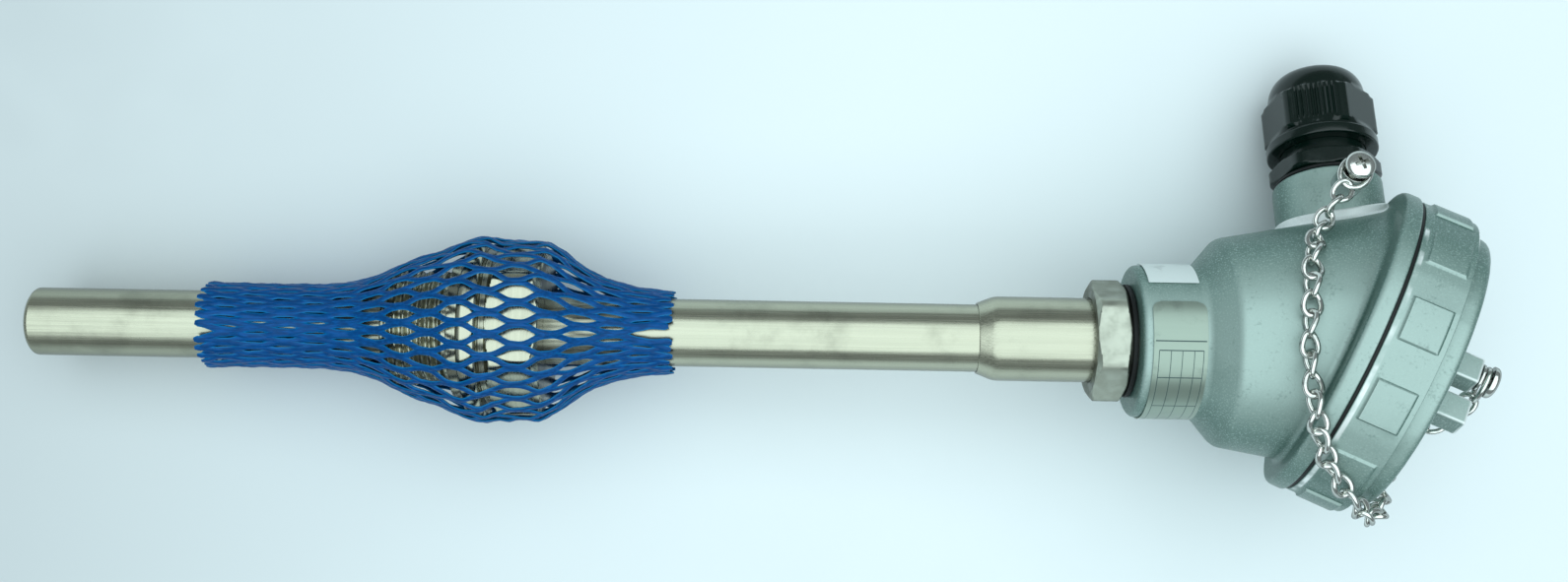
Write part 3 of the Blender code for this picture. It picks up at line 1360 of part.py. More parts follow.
def local_points(obj):
    """Every vertex of a finished piece, in the stem's axes."""
    graph = bpy.context.evaluated_depsgraph_get()
    evaluated = obj.evaluated_get(graph)
    mesh = evaluated.to_mesh()
    points = np.empty(len(mesh.vertices) * 3, np.float32)
    mesh.vertices.foreach_get("co", points)
    evaluated.to_mesh_clear()
    world = np.array(obj.matrix_world)
    return points.reshape(-1, 3).astype(float) @ world[:3, :3].T + world[:3, 3]


def pose(roll, pitch):
    """The turn that tips the gland towards the table and lifts the head."""
    lift = Matrix.Rotation(math.radians(-pitch), 4, "Y")
    return lift @ Matrix.Rotation(math.radians(-roll), 4, "X")


def bisect(rises, low, high):
    """Where a value that grows with its argument passes zero."""
    for _ in range(48):
        middle = (low + high) / 2
        if rises(middle) > 0:
            high = middle
        else:
            low = middle
    return (low + high) / 2


def lay_down(rest, supports):
    """Lays the part on what touches a table: the net, the cap's rim and the gland's nut."""
    bpy.context.view_layer.update()
    net, lid, nut = (np.concatenate([local_points(piece) for piece in group]) for group in supports)

    def lowest(points, roll, pitch):
        row = np.array(pose(roll, pitch))[2, :3]
        return float((points @ row).min())

    def level_pitch(roll):
        return bisect(lambda pitch: lowest(lid, roll, pitch) - lowest(net, roll, pitch), 0.0, 15.0)

    def gland_height(roll):
        pitch = level_pitch(roll)
        return lowest(lid, roll, pitch) - lowest(nut, roll, pitch)

    roll = bisect(gland_height, 0.0, 60.0)
    turn = pose(roll, level_pitch(roll))
    rest.matrix_basis = turn
    bpy.context.view_layer.update()
    pieces = [obj for obj in bpy.data.objects if obj.type in ("MESH", "CURVE") and not obj.hide_render]
    corners = np.concatenate([local_points(piece) for piece in pieces])
    low, high = corners.min(axis=0), corners.max(axis=0)
    middle = (low + high) / 2
    rest.matrix_basis = Matrix.Translation((-middle[0], -middle[1], -low[2])) @ turn
    bpy.context.view_layer.update()


main()
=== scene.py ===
"""The looks of the resistance temperature detector: its finishes, its fine shapes and its studio."""

import math

import bmesh
import bpy
import numpy as np
from mathutils import Matrix, Vector
from mathutils.bvhtree import BVHTree


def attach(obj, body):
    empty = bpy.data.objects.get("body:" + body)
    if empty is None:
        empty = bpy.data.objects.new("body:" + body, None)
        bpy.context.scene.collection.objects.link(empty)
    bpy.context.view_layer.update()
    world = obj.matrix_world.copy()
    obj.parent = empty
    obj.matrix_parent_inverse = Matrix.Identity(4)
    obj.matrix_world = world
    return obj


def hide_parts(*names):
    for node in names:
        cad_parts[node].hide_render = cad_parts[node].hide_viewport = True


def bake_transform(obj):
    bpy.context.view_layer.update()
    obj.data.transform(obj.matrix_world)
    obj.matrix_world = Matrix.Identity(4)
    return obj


bl_info = {
    "name": "Temperature Sensor Dresser",
    "version": (1, 0, 0),
    "blender": (4, 5, 0),
    "location": "3D View > Sidebar > Sensor",
    "description": "Dresses the packed solids of a temperature sensor with fine shapes and finishes",
    "category": "Object",
}

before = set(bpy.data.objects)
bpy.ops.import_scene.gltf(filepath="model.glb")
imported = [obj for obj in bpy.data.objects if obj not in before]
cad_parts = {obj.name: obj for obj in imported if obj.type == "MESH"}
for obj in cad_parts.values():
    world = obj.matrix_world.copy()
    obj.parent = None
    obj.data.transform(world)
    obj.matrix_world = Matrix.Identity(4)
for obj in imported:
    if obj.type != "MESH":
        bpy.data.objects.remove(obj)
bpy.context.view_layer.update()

# Camera: its roll in degrees, the place on the stem that it looks at, and how far above that place
CAMERA_ROLL = 1.05
CAMERA_STATION = 0.1771
CAMERA_RISE = 0.01035

# How the sensor lies: it rolls about its stem and lifts towards the head
REST_ROLL = 22.80454
REST_PITCH = 4.25701
REST_SHIFT = (-0.1717776, -0.0143565, 0.0143938)

# Stem, in metres from the tube's tip
TUBE_RADIUS = 0.008
TUBE_WALL = 0.0015
FIT_GAP = 0.0001
SLEEVE_RADIUS = 0.01
THREAD_START = 0.0841
THREAD_LENGTH = 0.0138
THREAD_RADIUS = 0.0135
THREAD_CHAMFER = 0.0012
INSERTION_LENGTH = 0.1
FITTING_FLATS = 0.036
FITTING_PHASE = 14.0
FITTING_END = 0.1212
SLEEVE_START = 0.2226
SLEEVE_END = 0.2657
NECK_NUT_START = 0.2492
NECK_NUT_END = 0.257
NECK_NUT_FLATS = 0.026
NECK_NUT_PHASE = 14.2
NECK_START = 0.2587
NECK_END = 0.2735
BODY_START = 0.2792
CAP_STATION = 0.3112
GLAND_CENTRE = 0.3104

# Connection head
NECK_RADIUS = 0.018
NECK_SOCKET_DEPTH = 0.012
NECK_SOCKET_RADIUS = 0.0119
WIRE_WAY_RADIUS = 0.0046
BODY_RADIUS = 0.0247
BODY_FLARE = 10.0454
CAP_TILT = 25.2
FLANGE_RADIUS = 0.0378
FLANGE_FACE = -0.00042
FLANGE_BACK = -0.00455
MOUTH_RADIUS = 0.02819
SEAL_HALF = 0.00038
SEAL_BORE = 0.0329
SEAL_RADIUS = 0.037
CAP_FACE = 0.00042
CAP_SKIRT = 0.0088
CAP_BAND_END = 0.01295
CAP_BAND_LENGTH = 0.01253
CAP_TOP = 0.01755
CAP_BAND_RADIUS = 0.0372
CAP_TIER_RADIUS = 0.0344
POST_END = 0.02955
POST_BEVEL = 0.0007
POST_SIDE = 0.0067
POST_SPACING = 0.0117
POST_ANGLE = -4.0
PAD_COUNT = 12
PAD_SPAN = 15.0
PAD_PHASE = 11.0
BOSS_COLLAR_RADIUS = 0.0142
BOSS_COLLAR_RISE = 0.0025
BOSS_FOOT = 0.0262
BOSS_REACH = 0.0413
BOSS_RADIUS = 0.013
LUG_REACH = 0.02
LUG_RADIUS = 0.0035
LUG_STATION = 0.036

# Cable gland, in metres from the stem's axis
GLAND_HEX_START = 0.0427
GLAND_HEX_END = 0.0472
GLAND_NUT_START = 0.0504
GLAND_NUT_HEX_START = 0.0539
GLAND_DOME_START = 0.0653
GLAND_MOUTH = 0.0716
GLAND_NECK_END = 0.0582
GLAND_FLATS = 0.024
GLAND_HEX_PHASE = 45.0
GLAND_NUT_PHASE = 9.2

# Chain: the places that its middle line passes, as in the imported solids
CHAIN_PITCH = 0.0046
CHAIN_CLEARANCE = 0.0026
CHAIN_EYE_REACH = 0.006
CHAIN_EYE_WIDTH = 0.0067
CHAIN_SHANK = 0.0015
CHAIN_LEAN = 45.0
CHAIN_SWING = 9.0
LINK_TWIST = 0.00045
SEAT_GAP = 0.0003
WASHER_THICKNESS = 0.0006
# Where the chain lies on the flared body: depth under the seal, and angle about the stem
CHAIN_ON_BODY = (
    *((0.0191, 47.0), (0.0195, 60.0), (0.0190, 70.0), (0.0175, 82.0)),
    *((0.0155, 94.0), (0.0138, 106.0), (0.0118, 115.0)),
)
# Where it crosses the flange and the cap's band: height over the seal, and angle about the cap
CHAIN_ON_RIM = (
    *((-0.0062, 140.0), (-0.0035, 146.0), (0.0, 153.0)),
    *((0.004, 159.5), (0.008, 164.5), (0.012, 168.5)),
)
# Where it turns over the edge of the cap's face: height over the face, distance past the edge, and sideways
CHAIN_OVER_EDGE = (
    (-0.0018, 0.0047, 0.0020),
    (0.0010, 0.0028, -0.0015),
    (0.0028, -0.0020, -0.0065),
)
# Where it hangs before the cap's outer face: height over the face, and two distances from the cap's axis
CHAIN_ON_FACE = (
    (0.0030, -0.0260, -0.0120),
    (0.0032, -0.0190, -0.0150),
    (0.0042, -0.0115, -0.0150),
    (0.0078, -0.0055, -0.0138),
    (0.0130, -0.0004, -0.0088),
)

# The nameplate's empty table, as shares of the plate's width and length
PLATE_ROWS = (0.1, 0.32, 0.53, 0.75, 0.92)
PLATE_COLUMNS = (0.27, 0.42, 0.62, 0.94)
PLATE_DIVIDER = 0.22
PLATE_HEAD = 0.27
PLATE_FOOT = 0.94
PLATE_SPAN = (81.0, 216.0)
STICKER_SPAN = (18.0, 63.0)


def screen(red, green, blue):
    """A colour as it shows on a screen, in Blender's linear numbers."""
    shares = (value / 255 for value in (red, green, blue))
    return tuple(v / 12.92 if v <= 0.04045 else ((v + 0.055) / 1.055) ** 2.4 for v in shares)


def length(name, description, default):
    return bpy.props.FloatProperty(
        name=name, description=description, default=default, unit="LENGTH", precision=5, min=0.0
    )


def tint(name, description, default):
    return bpy.props.FloatVectorProperty(
        name=name, description=description, default=default, subtype="COLOR", size=3, min=0.0, max=1.0
    )


class SensorSizes(bpy.types.PropertyGroup):
    """Sizes of the fine shapes."""

    thread_pitch: length("Thread pitch", "Pitch of the process thread", 0.002)
    thread_depth: length("Thread depth", "Depth of the process thread", 0.0011)
    strand_width: length("Strand width", "Width of a strand of the net", 0.00136)
    strand_thickness: length("Strand thickness", "Thickness of a strand of the net", 0.0008)
    net_half_pitch: length("Knot spacing", "Distance along the net from one row of knots to the next", 0.0069)
    chain_wire: length("Chain wire", "Thickness of the chain's wire", 0.0013)
    chain_width: length("Chain link width", "Width of a link across its wires", 0.0054)
    rib_pitch: length("Rib pitch", "Distance between the grip ribs on the gland's nut", 0.00112)
    rib_depth: length("Rib depth", "Depth of the grip ribs on the gland's nut", 0.00032)
    pad_height: length("Pad height", "How far the cap's grip pads stand out", 0.00062)


class SensorColours(bpy.types.PropertyGroup):
    """Colours of the finishes."""

    paint: tint("Paint", "Sage grey-green paint where it faces the eye", screen(170, 191, 184))
    # Painted shade: the paint's darker colour where a surface turns away from the eye
    paint_edge: tint("Paint edge", "The same paint where it turns away", screen(88, 118, 110))
    # Near-white for rubbed edges, and for the pale collar under the gland, whose near-white is partly a painted
    # highlight on its fillet
    worn_paint: tint("Worn paint", "Paint where it is thin, on the collar under the gland", screen(244, 250, 248))
    net: tint("Net", "Blue of the net's strands", screen(0, 80, 148))
    # Painted light: the paler blue along the strands' thin edges, where light shines through
    net_edge: tint("Net edge", "Lighter blue of the strands' thin edges", screen(10, 124, 182))
    steel: tint("Steel", "Stainless steel of the stem", screen(190, 190, 170))
    zinc: tint("Zinc", "Plating of the nut on the neck", screen(182, 186, 172))
    nickel: tint("Nickel", "Plating of the chain and its screws", screen(226, 228, 222))
    nylon: tint("Nylon", "Black nylon of the cable gland", screen(1, 21, 15))
    foil: tint("Foil", "Foil of the nameplate", screen(150, 164, 152))
    paper: tint("Paper", "Face of the small sticker", screen(226, 236, 234))


class StudioSettings(bpy.types.PropertyGroup):
    """The floor, the light and the camera."""

    floor: tint("Floor", "Colour of the table", screen(238, 245, 247))
    sky: tint("Sky", "Colour of the light", screen(234, 251, 255))
    sky_strength: bpy.props.FloatProperty(
        name="Sky strength", description="Strength of the light from all around", default=0.26, min=0.0
    )
    panel_power: bpy.props.FloatProperty(
        name="Panel power", description="Power of the panel above", default=21.5, min=0.0, subtype="POWER"
    )
    camera_distance: length("Camera distance", "Distance of the camera from the stem's axis", 0.385)
    view_width: length("View width", "Width of the view at the stem's axis", 0.3717)


# Places


def around(x, radius, angle):
    """A point at a radius and an angle about the X axis."""
    turn = math.radians(angle)
    return Vector((x, radius * math.cos(turn), radius * math.sin(turn)))


def bend(first, corner, last, share):
    """A point at a share of a rounded corner, or a number between three."""
    return first * (1 - share) ** 2 + corner * 2 * share * (1 - share) + last * share * share


def corner_reach(flats):
    """How far a hexagon's corners stand from its middle."""
    return flats / 2 / math.cos(math.radians(30))


def stem_place():
    """From the stem's axes to the table's."""
    lift = Matrix.Rotation(math.radians(-REST_PITCH), 4, "Y")
    roll = Matrix.Rotation(math.radians(-REST_ROLL), 4, "X")
    return Matrix.Translation(REST_SHIFT) @ lift @ roll


def cap_frame():
    """From the cap's axes, about the centre of its seal, to the stem's."""
    return Matrix.Translation((CAP_STATION, 0, 0)) @ Matrix.Rotation(math.radians(-CAP_TILT), 4, "Z")


def gland_frame():
    """From the gland's axes, about its crossing with the stem's axis, to the stem's."""
    return Matrix.Translation((GLAND_CENTRE, 0, 0)) @ Matrix.Rotation(math.radians(90), 4, "Z")


def lug_frame():
    """From the lug's axes to the gland's."""
    return Matrix.Translation((LUG_STATION, 0, 0)) @ Matrix.Rotation(math.radians(-90), 4, "Y")


def post_frame(side):
    """From a post's axis to the cap's axes."""
    return Matrix.Translation(around(0, side * POST_SPACING / 2, POST_ANGLE))


# Meshes


def even_angles(count, phase=0.0):
    return [phase + 360.0 * step / count for step in range(count)]


def soften(outline, steps=4):
    """An outline of (x, radius, rounding) with each corner rounded, as (x, radius)."""
    rounded = []
    for i, (x, radius, rounding) in enumerate(outline):
        corner = Vector((x, radius))
        if rounding == 0 or i in (0, len(outline) - 1):
            rounded.append((x, radius))
            continue
        before = Vector(outline[i - 1][:2]) - corner
        after = Vector(outline[i + 1][:2]) - corner
        reach = min(rounding, before.length * 0.48, after.length * 0.48)
        start = corner + before.normalized() * reach
        end = corner + after.normalized() * reach
        for step in range(steps + 1):
            rounded.append(tuple(bend(start, corner, end, step / steps)))
    return rounded


def ring(x, radius, angles, limit=None):
    """Points about the X axis, kept within a limit such as a hexagon."""
    return [around(x, limit(x, angle, radius) if limit else radius, angle) for angle in angles]


def skin_mesh(name, rings, looped=False):
    """A surface through rings of equal count. It closes an end whose ring is one point."""
    bm = bmesh.new()
    rows = [[bm.verts.new(point) for point in points] for points in rings]
    pairs = list(zip(rows, rows[1:]))
    if looped:
        pairs.append((rows[-1], rows[0]))
    for first, second in pairs:
        for i in range(max(len(first), len(second))):
            corners = [first[i % len(first)], first[(i + 1) % len(first)]]
            corners += [second[(i + 1) % len(second)], second[i % len(second)]]
            kept = list(dict.fromkeys(corners))
            if len(kept) > 2:
                bm.faces.new(kept)
    return mesh_of(name, bm)


def mesh_of(name, bm):
    bmesh.ops.recalc_face_normals(bm, faces=bm.faces)
    mesh = bpy.data.meshes.new(name)
    bm.to_mesh(mesh)
    bm.free()
    return mesh


def turned_mesh(name, profile, angles, limit=None):
    """A turned shape from a list of (x, radius)."""
    rings = []
    for x, radius in profile:
        rings.append([Vector((x, 0, 0))] if radius == 0 else ring(x, radius, angles, limit))
    return skin_mesh(name, rings, looped=profile[0][1] > 0)


def placed(name, data):
    """A new object in the scene."""
    obj = bpy.data.objects.new(name, data)
    bpy.context.scene.collection.objects.link(obj)
    return obj


def disc_mesh(name, start, end, bore, rim, rounding, count=96):
    """A flat ring with rounded corners at its rim."""
    outline = [(start, bore, 0), (start, rim, rounding), (end, rim, rounding), (end, bore, 0)]
    return turned_mesh(name, soften(outline), even_angles(count))


def moved(base, outline):
    """An outline whose stations are given from a base."""
    return [(base + x, *rest) for x, *rest in outline]


def join_rows(bm, first, second):
    """Faces between two closed rows of equal count."""
    for i in range(len(first)):
        j = (i + 1) % len(first)
        bm.faces.new((first[i], first[j], second[j], second[i]))


def piece(name, mesh, finish, nodes=(), place=Matrix.Identity(4), body="sensor", sharp=38.0):
    """Puts a mesh in the scene as a piece with a finish, which rides on a body and stands for its nodes."""
    mesh.shade_smooth()
    mesh.set_sharp_from_angle(angle=math.radians(sharp))
    obj = placed(name, mesh)
    obj.matrix_world = stem_place() @ place
    even = obj.modifiers.new("even_shading", "WEIGHTED_NORMAL")
    even.keep_sharp = True
    if body:
        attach(obj, body)
    if nodes:
        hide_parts(*nodes)
    give(obj, finish)
    return obj


def block_mesh(name, low, high, bevel, segments=3):
    """A block with rounded edges."""
    bm = bmesh.new()
    bmesh.ops.create_cube(bm, size=1.0)
    size = Vector(high) - Vector(low)
    middle = (Vector(high) + Vector(low)) / 2
    for vert in bm.verts:
        vert.co = Vector(a * b for a, b in zip(vert.co, size)) + middle
    bmesh.ops.bevel(bm, geom=bm.edges[:], offset=bevel, segments=segments, profile=0.6, affect="EDGES")
    return mesh_of(name, bm)


def cut_mesh(mesh, tool_mesh):
    """A mesh with another cut out of it. Both lie in the same axes."""
    whole, tool = placed("whole", mesh), placed("tool", tool_mesh)
    modifier = whole.modifiers.new("cut", "BOOLEAN")
    modifier.solver = "EXACT"
    modifier.operation = "DIFFERENCE"
    modifier.object = tool
    graph = bpy.context.evaluated_depsgraph_get()
    made = bpy.data.meshes.new_from_object(whole.evaluated_get(graph))
    for obj in (whole, tool):
        bpy.data.objects.remove(obj, do_unlink=True)
    return made


def hexagon(flats, phase, start, end, corner_round=0.0006):
    """A limit that is a hexagon with softened corners and coned ends."""
    corner = corner_reach(flats) - corner_round
    face = flats / 2 * 0.985
    cone = math.tan(math.radians(60))

    def limit(x, angle, radius):
        if not start <= x <= end:
            return radius
        offset = math.radians((angle - phase) % 60.0 - 30.0)
        flat = flats / 2 / math.cos(offset)
        ends = face + min(x - start, end - x) * cone
        return min(radius, flat, corner, ends)

    return limit


def hex_rows(start, end, flats, steps=9):
    """Stations of a hexagon's outline, close together where its corners are coned."""
    corner = corner_reach(flats)
    depth = (corner - flats / 2 * 0.985) / math.tan(math.radians(60))
    first = [start + depth * step / steps for step in range(steps + 1)]
    last = [end - depth * step / steps for step in reversed(range(steps + 1))]
    return [(x, corner) for x in first + last]


def hex_angles(phase, per_face=14):
    """Ring angles that are close together at a hexagon's corners."""
    angles = []
    for face in range(6):
        for step in range(per_face):
            share = step / per_face
            eased = share - math.sin(2 * math.pi * share) / (2 * math.pi) * 0.8
            angles.append(phase + 60.0 * (face + eased))
    return angles


# Shader nodes


def fill(tree, socket, value):
    """Links a socket to another one, or gives it a value."""
    if isinstance(value, bpy.types.NodeSocket):
        tree.links.new(value, socket)
    elif value is not None:
        socket.default_value = (*value[:3], 1.0) if socket.type == "RGBA" else value


def fill_all(tree, node, sockets):
    for label, value in sockets.items():
        fill(tree, node.inputs[label.replace("_", " ")], value)


def new_node(tree, kind, settings=(), **sockets):
    """A shader node with its settings. Its sockets are linked or filled by name."""
    node = tree.nodes.new("ShaderNode" + kind)
    for label, value in settings:
        setattr(node, label, value)
    fill_all(tree, node, sockets)
    return node


def math_node(tree, operation, first, second=None, clamp=False):
    node = new_node(tree, "Math", (("operation", operation), ("use_clamp", clamp)))
    for socket, value in zip(node.inputs, (first, second)):
        fill(tree, socket, value)
    return node.outputs[0]


def times(tree, first, second):
    return math_node(tree, "MULTIPLY", first, second)


def noise(tree, vector, scale, detail=2.0, roughness=0.5):
    return new_node(tree, "TexNoise", Vector=vector, Scale=scale, Detail=detail, Roughness=roughness).outputs["Fac"]


def eased(tree, value, low, high, to_low=0.0, to_high=1.0):
    """A value's smooth way from one number to another, between two limits."""
    limits = {"From_Min": low, "From_Max": high, "To_Min": to_low, "To_Max": to_high}
    settings = [("interpolation_type", "SMOOTHSTEP")]
    return new_node(tree, "MapRange", settings, Value=value, **limits).outputs["Result"]


def object_vector(tree, stretch=None):
    """The piece's own coordinates, or those stretched by three scales."""
    coordinates = new_node(tree, "TexCoord").outputs["Object"]
    if stretch is None:
        return coordinates
    return new_node(tree, "Mapping", Vector=coordinates, Scale=stretch).outputs["Vector"]


def group_tree(name, inputs, outputs):
    """An empty shader node group: its tree, the sockets that it is given, and its way out."""
    tree = bpy.data.node_groups.new(name, "ShaderNodeTree")
    for label, default in inputs.items():
        tree.interface.new_socket(name=label, in_out="INPUT", socket_type="NodeSocketFloat").default_value = default
    for label in outputs:
        tree.interface.new_socket(name=label, in_out="OUTPUT", socket_type="NodeSocketFloat")
    return tree, tree.nodes.new("NodeGroupInput").outputs, tree.nodes.new("NodeGroupOutput")


def cast_grain_group():
    """Fine bumps and specks of sprayed paint on a casting."""
    tree, given, out = group_tree("cast_grain", {"Scale": 900.0}, ("Height", "Specks"))
    vector = object_vector(tree)
    fine = noise(tree, vector, given["Scale"], 3.0, 0.6)
    wide = noise(tree, vector, times(tree, given["Scale"], 0.16))
    specks = noise(tree, vector, times(tree, given["Scale"], 1.9), 1.0)
    height = math_node(tree, "ADD", times(tree, fine, 0.6), times(tree, wide, 0.4))
    fill_all(tree, out, {"Height": height, "Specks": eased(tree, specks, 0.52, 0.7)})
    return tree


def drawn_lines_group():
    """Fine lines on drawn or turned metal: along X, or around it."""
    tree, given, out = group_tree("drawn_lines", {"Along": 30.0, "Across": 2600.0}, ("Lines", "Bands"))
    stretch = new_node(tree, "CombineXYZ", X=given["Along"], Y=given["Across"], Z=given["Across"])
    vector = object_vector(tree, stretch.outputs["Vector"])
    fill_all(tree, out, {"Lines": noise(tree, vector, 1.0, 3.0, 0.65), "Bands": noise(tree, vector, 0.17)})
    return tree


def edge_wear_group():
    """Where edges are rubbed: a mask from the surface's sharpness, broken up by noise."""
    tree, given, out = group_tree("edge_wear", {"Reach": 0.06, "Break Up": 260.0}, ("Mask",))
    sharpness = new_node(tree, "NewGeometry").outputs["Pointiness"]
    edge = eased(tree, sharpness, 0.51, math_node(tree, "ADD", given["Reach"], 0.51))
    broken = eased(tree, noise(tree, object_vector(tree), given["Break Up"], 3.0), 0.42, 0.62)
    fill_all(tree, out, {"Mask": math_node(tree, "MULTIPLY", edge, broken, True)})
    return tree


def stains_group():
    """Soft smudges and dust that handling leaves."""
    tree, given, out = group_tree("stains", {"Scale": 60.0, "Cover": 0.5}, ("Mask",))
    wide = noise(tree, object_vector(tree), given["Scale"], 5.0, 0.62)
    low = math_node(tree, "SUBTRACT", 1.0, given["Cover"])
    fill_all(tree, out, {"Mask": eased(tree, wide, low, math_node(tree, "ADD", low, 0.22))})
    return tree


GROUP_MAKERS = {
    "cast_grain": cast_grain_group,
    "drawn_lines": drawn_lines_group,
    "edge_wear": edge_wear_group,
    "stains": stains_group,
}


def effect(tree, name, **values):
    """Places a shared effect in a material with its own values."""
    node = tree.nodes.new("ShaderNodeGroup")
    node.node_tree = bpy.data.node_groups.get(name) or GROUP_MAKERS[name]()
    fill_all(tree, node, values)
    return node.outputs


def mixed(tree, mask, first, second):
    """A colour between two, by a mask. Each is a colour or a socket."""
    node = new_node(tree, "Mix", [("data_type", "RGBA")], Factor=mask)
    fill(tree, node.inputs[6], first)
    fill(tree, node.inputs[7], second)
    return node.outputs[2]


def painted_facing_shade(tree, facing, turned_away, low=0.03, high=0.55):
    """Painted shade: a colour that changes from where a surface faces the eye to where it turns away."""
    weight = new_node(tree, "LayerWeight", Blend=0.5)
    return mixed(tree, eased(tree, weight.outputs["Facing"], low, high), facing, turned_away)


def shade(colour, factor):
    return tuple(min(1.0, c * factor) for c in colour)


def bump(tree, height, distance, strength):
    return new_node(tree, "Bump", Strength=strength, Distance=distance, Height=height).outputs["Normal"]


# Finishes


def base_material(name, colour, roughness, metallic, **sockets):
    """A new material and its node tree, with the plain values of its Principled shader."""
    material = bpy.data.materials.new(name)
    material.use_nodes = True
    return dressed(material, Base_Color=colour, Roughness=roughness, Metallic=metallic, **sockets), material.node_tree


def dressed(material, **sockets):
    """A material with the given sockets of its Principled shader linked or filled."""
    fill_all(material.node_tree, material.node_tree.nodes["Principled BSDF"], sockets)
    return material


def painted_casting(name, colour, edge, worn):
    """Sprayed satin paint on a casting, with specks and rubbed edges, and with painted shade where it turns from the
    eye and in the pits of its grain.
    """
    material, tree = base_material(name, colour, 0.42, 0.2, Specular_IOR_Level=0.4)
    grain = effect(tree, "cast_grain", Scale=1500.0)
    wear = effect(tree, "edge_wear", Reach=0.16, Break_Up=110.0)["Mask"]
    smudge = effect(tree, "stains", Scale=45.0, Cover=0.46)["Mask"]
    # The edge colour is painted shade where the surface turns from the eye; the specks are the paint's own
    flecked = mixed(tree, times(tree, grain["Specks"], 0.5), painted_facing_shade(tree, colour, edge), shade(colour, 1.1))
    # Painted shade: darker in the low pits of the grain
    painted_pit_shade = mixed(tree, eased(tree, grain["Height"], 0.3, 0.46, 0.35, 0.0), flecked, shade(edge, 0.7))
    dusty = mixed(tree, times(tree, smudge, 0.25), painted_pit_shade, shade(edge, 0.9))
    return dressed(
        material,
        Base_Color=mixed(tree, wear, dusty, worn),
        Roughness=eased(tree, smudge, 0.0, 1.0, 0.36, 0.48),
        Normal=bump(tree, grain["Height"], 0.00006, 0.7),
    )


# The pale collar at the boss's foot: a lighter ring whose near-white is partly a painted highlight on its fillet, with
# painted shade where it turns from the eye
def pale_highlight_casting(name, worn):
    return painted_casting(name, worn, shade(worn, 0.85), shade(worn, 1.1))


def drawn_steel(name, colour, roughness, along, across, dirt=0.5):
    """Stainless steel with the fine lines of its making, and faint stains, with painted shade where it turns from the
    eye.
    """
    material, tree = base_material(name, colour, roughness, 1.0)
    lines = effect(tree, "drawn_lines", Along=along, Across=across)
    toned = mixed(tree, lines["Bands"], shade(colour, 0.86), shade(colour, 1.1))
    stained = mixed(tree, effect(tree, "stains", Scale=70.0, Cover=dirt)["Mask"], toned, shade(colour, 0.78))
    return dressed(
        material,
        # Painted shade: darker where the surface turns from the eye
        Base_Color=painted_facing_shade(tree, stained, shade(colour, 0.36), 0.35, 0.9),
        Roughness=eased(tree, lines["Lines"], 0.3, 0.7, roughness * 0.75, roughness * 1.4),
        Normal=bump(tree, lines["Lines"], 0.00001, 0.6),
    )


def plated(name, colour, roughness):
    """Bright plating on small steel parts, a little dull in places, with painted shade where it turns from the eye."""
    material, tree = base_material(name, colour, roughness, 1.0)
    smudge = effect(tree, "stains", Scale=420.0, Cover=0.5)["Mask"]
    dull = mixed(tree, smudge, colour, shade(colour, 0.7))
    return dressed(
        material,
        # Painted shade: darker where the surface turns from the eye
        Base_Color=painted_facing_shade(tree, dull, shade(colour, 0.2), 0.25, 0.85),
        Roughness=eased(tree, smudge, 0.0, 1.0, roughness, roughness * 2.2),
    )


def moulded(name, colour, roughness, coat=0.0):
    """Moulded plastic or rubber with a faint skin."""
    material, tree = base_material(name, colour, roughness, 0.0, Coat_Weight=coat, Specular_IOR_Level=0.38)
    smudge = effect(tree, "stains", Scale=120.0, Cover=0.5)["Mask"]
    wear = effect(tree, "edge_wear", Reach=0.12, Break_Up=500.0)["Mask"]
    toned = mixed(tree, smudge, colour, tuple(c * 1.25 + 0.003 for c in colour))
    return dressed(
        material,
        Base_Color=mixed(tree, wear, toned, tuple(c * 1.6 + 0.006 for c in colour)),
        Roughness=eased(tree, smudge, 0.0, 1.0, roughness, min(1.0, roughness * 1.35)),
        Normal=bump(tree, effect(tree, "cast_grain", Scale=700.0)["Height"], 0.00002, 0.5),
    )


def fired_ceramic(name, colour):
    """Unglazed white ceramic."""
    material, tree = base_material(name, colour, 0.55, 0.0)
    grain = effect(tree, "cast_grain", Scale=1200.0)
    specked = mixed(tree, grain["Specks"], colour, shade(colour, 0.86))
    return dressed(material, Base_Color=specked, Normal=bump(tree, grain["Height"], 0.00003, 0.6))


def net_plastic(name, colour, painted_edge_light):
    """Extruded blue plastic: deep in the middle of a strand and paler along its thin edges, a painted light that
    shines through the thin plastic.
    """
    material, tree = base_material(name, colour, 0.4, 0.0, Specular_IOR_Level=0.14)
    edge = new_node(tree, "Attribute", [("attribute_name", "thin_edge")]).outputs["Fac"]
    lines = effect(tree, "drawn_lines", Along=220.0, Across=1800.0)
    toned = mixed(tree, eased(tree, lines["Lines"], 0.35, 0.75), shade(colour, 0.62), shade(colour, 1.18))
    return dressed(
        material,
        # Painted light: paler along the strands' thin edges, where light shines through
        Base_Color=mixed(tree, eased(tree, edge, 0.35, 1.0, 0.0, 0.75), toned, painted_edge_light),
        Roughness=eased(tree, lines["Bands"], 0.3, 0.7, 0.26, 0.46),
        Normal=bump(tree, lines["Lines"], 0.00006, 0.6),
    )


def table_lines(tree, value, places, half_width, other, low, high):
    """A mask of thin lines where a coordinate has given values and the other one lies between two limits."""
    lines = None
    for place in places:
        gap = math_node(tree, "ABSOLUTE", math_node(tree, "SUBTRACT", value, place))
        line = math_node(tree, "LESS_THAN", gap, half_width)
        lines = line if lines is None else math_node(tree, "MAXIMUM", lines, line)
    inside = times(tree, math_node(tree, "GREATER_THAN", other, low), math_node(tree, "LESS_THAN", other, high))
    return times(tree, lines, inside)


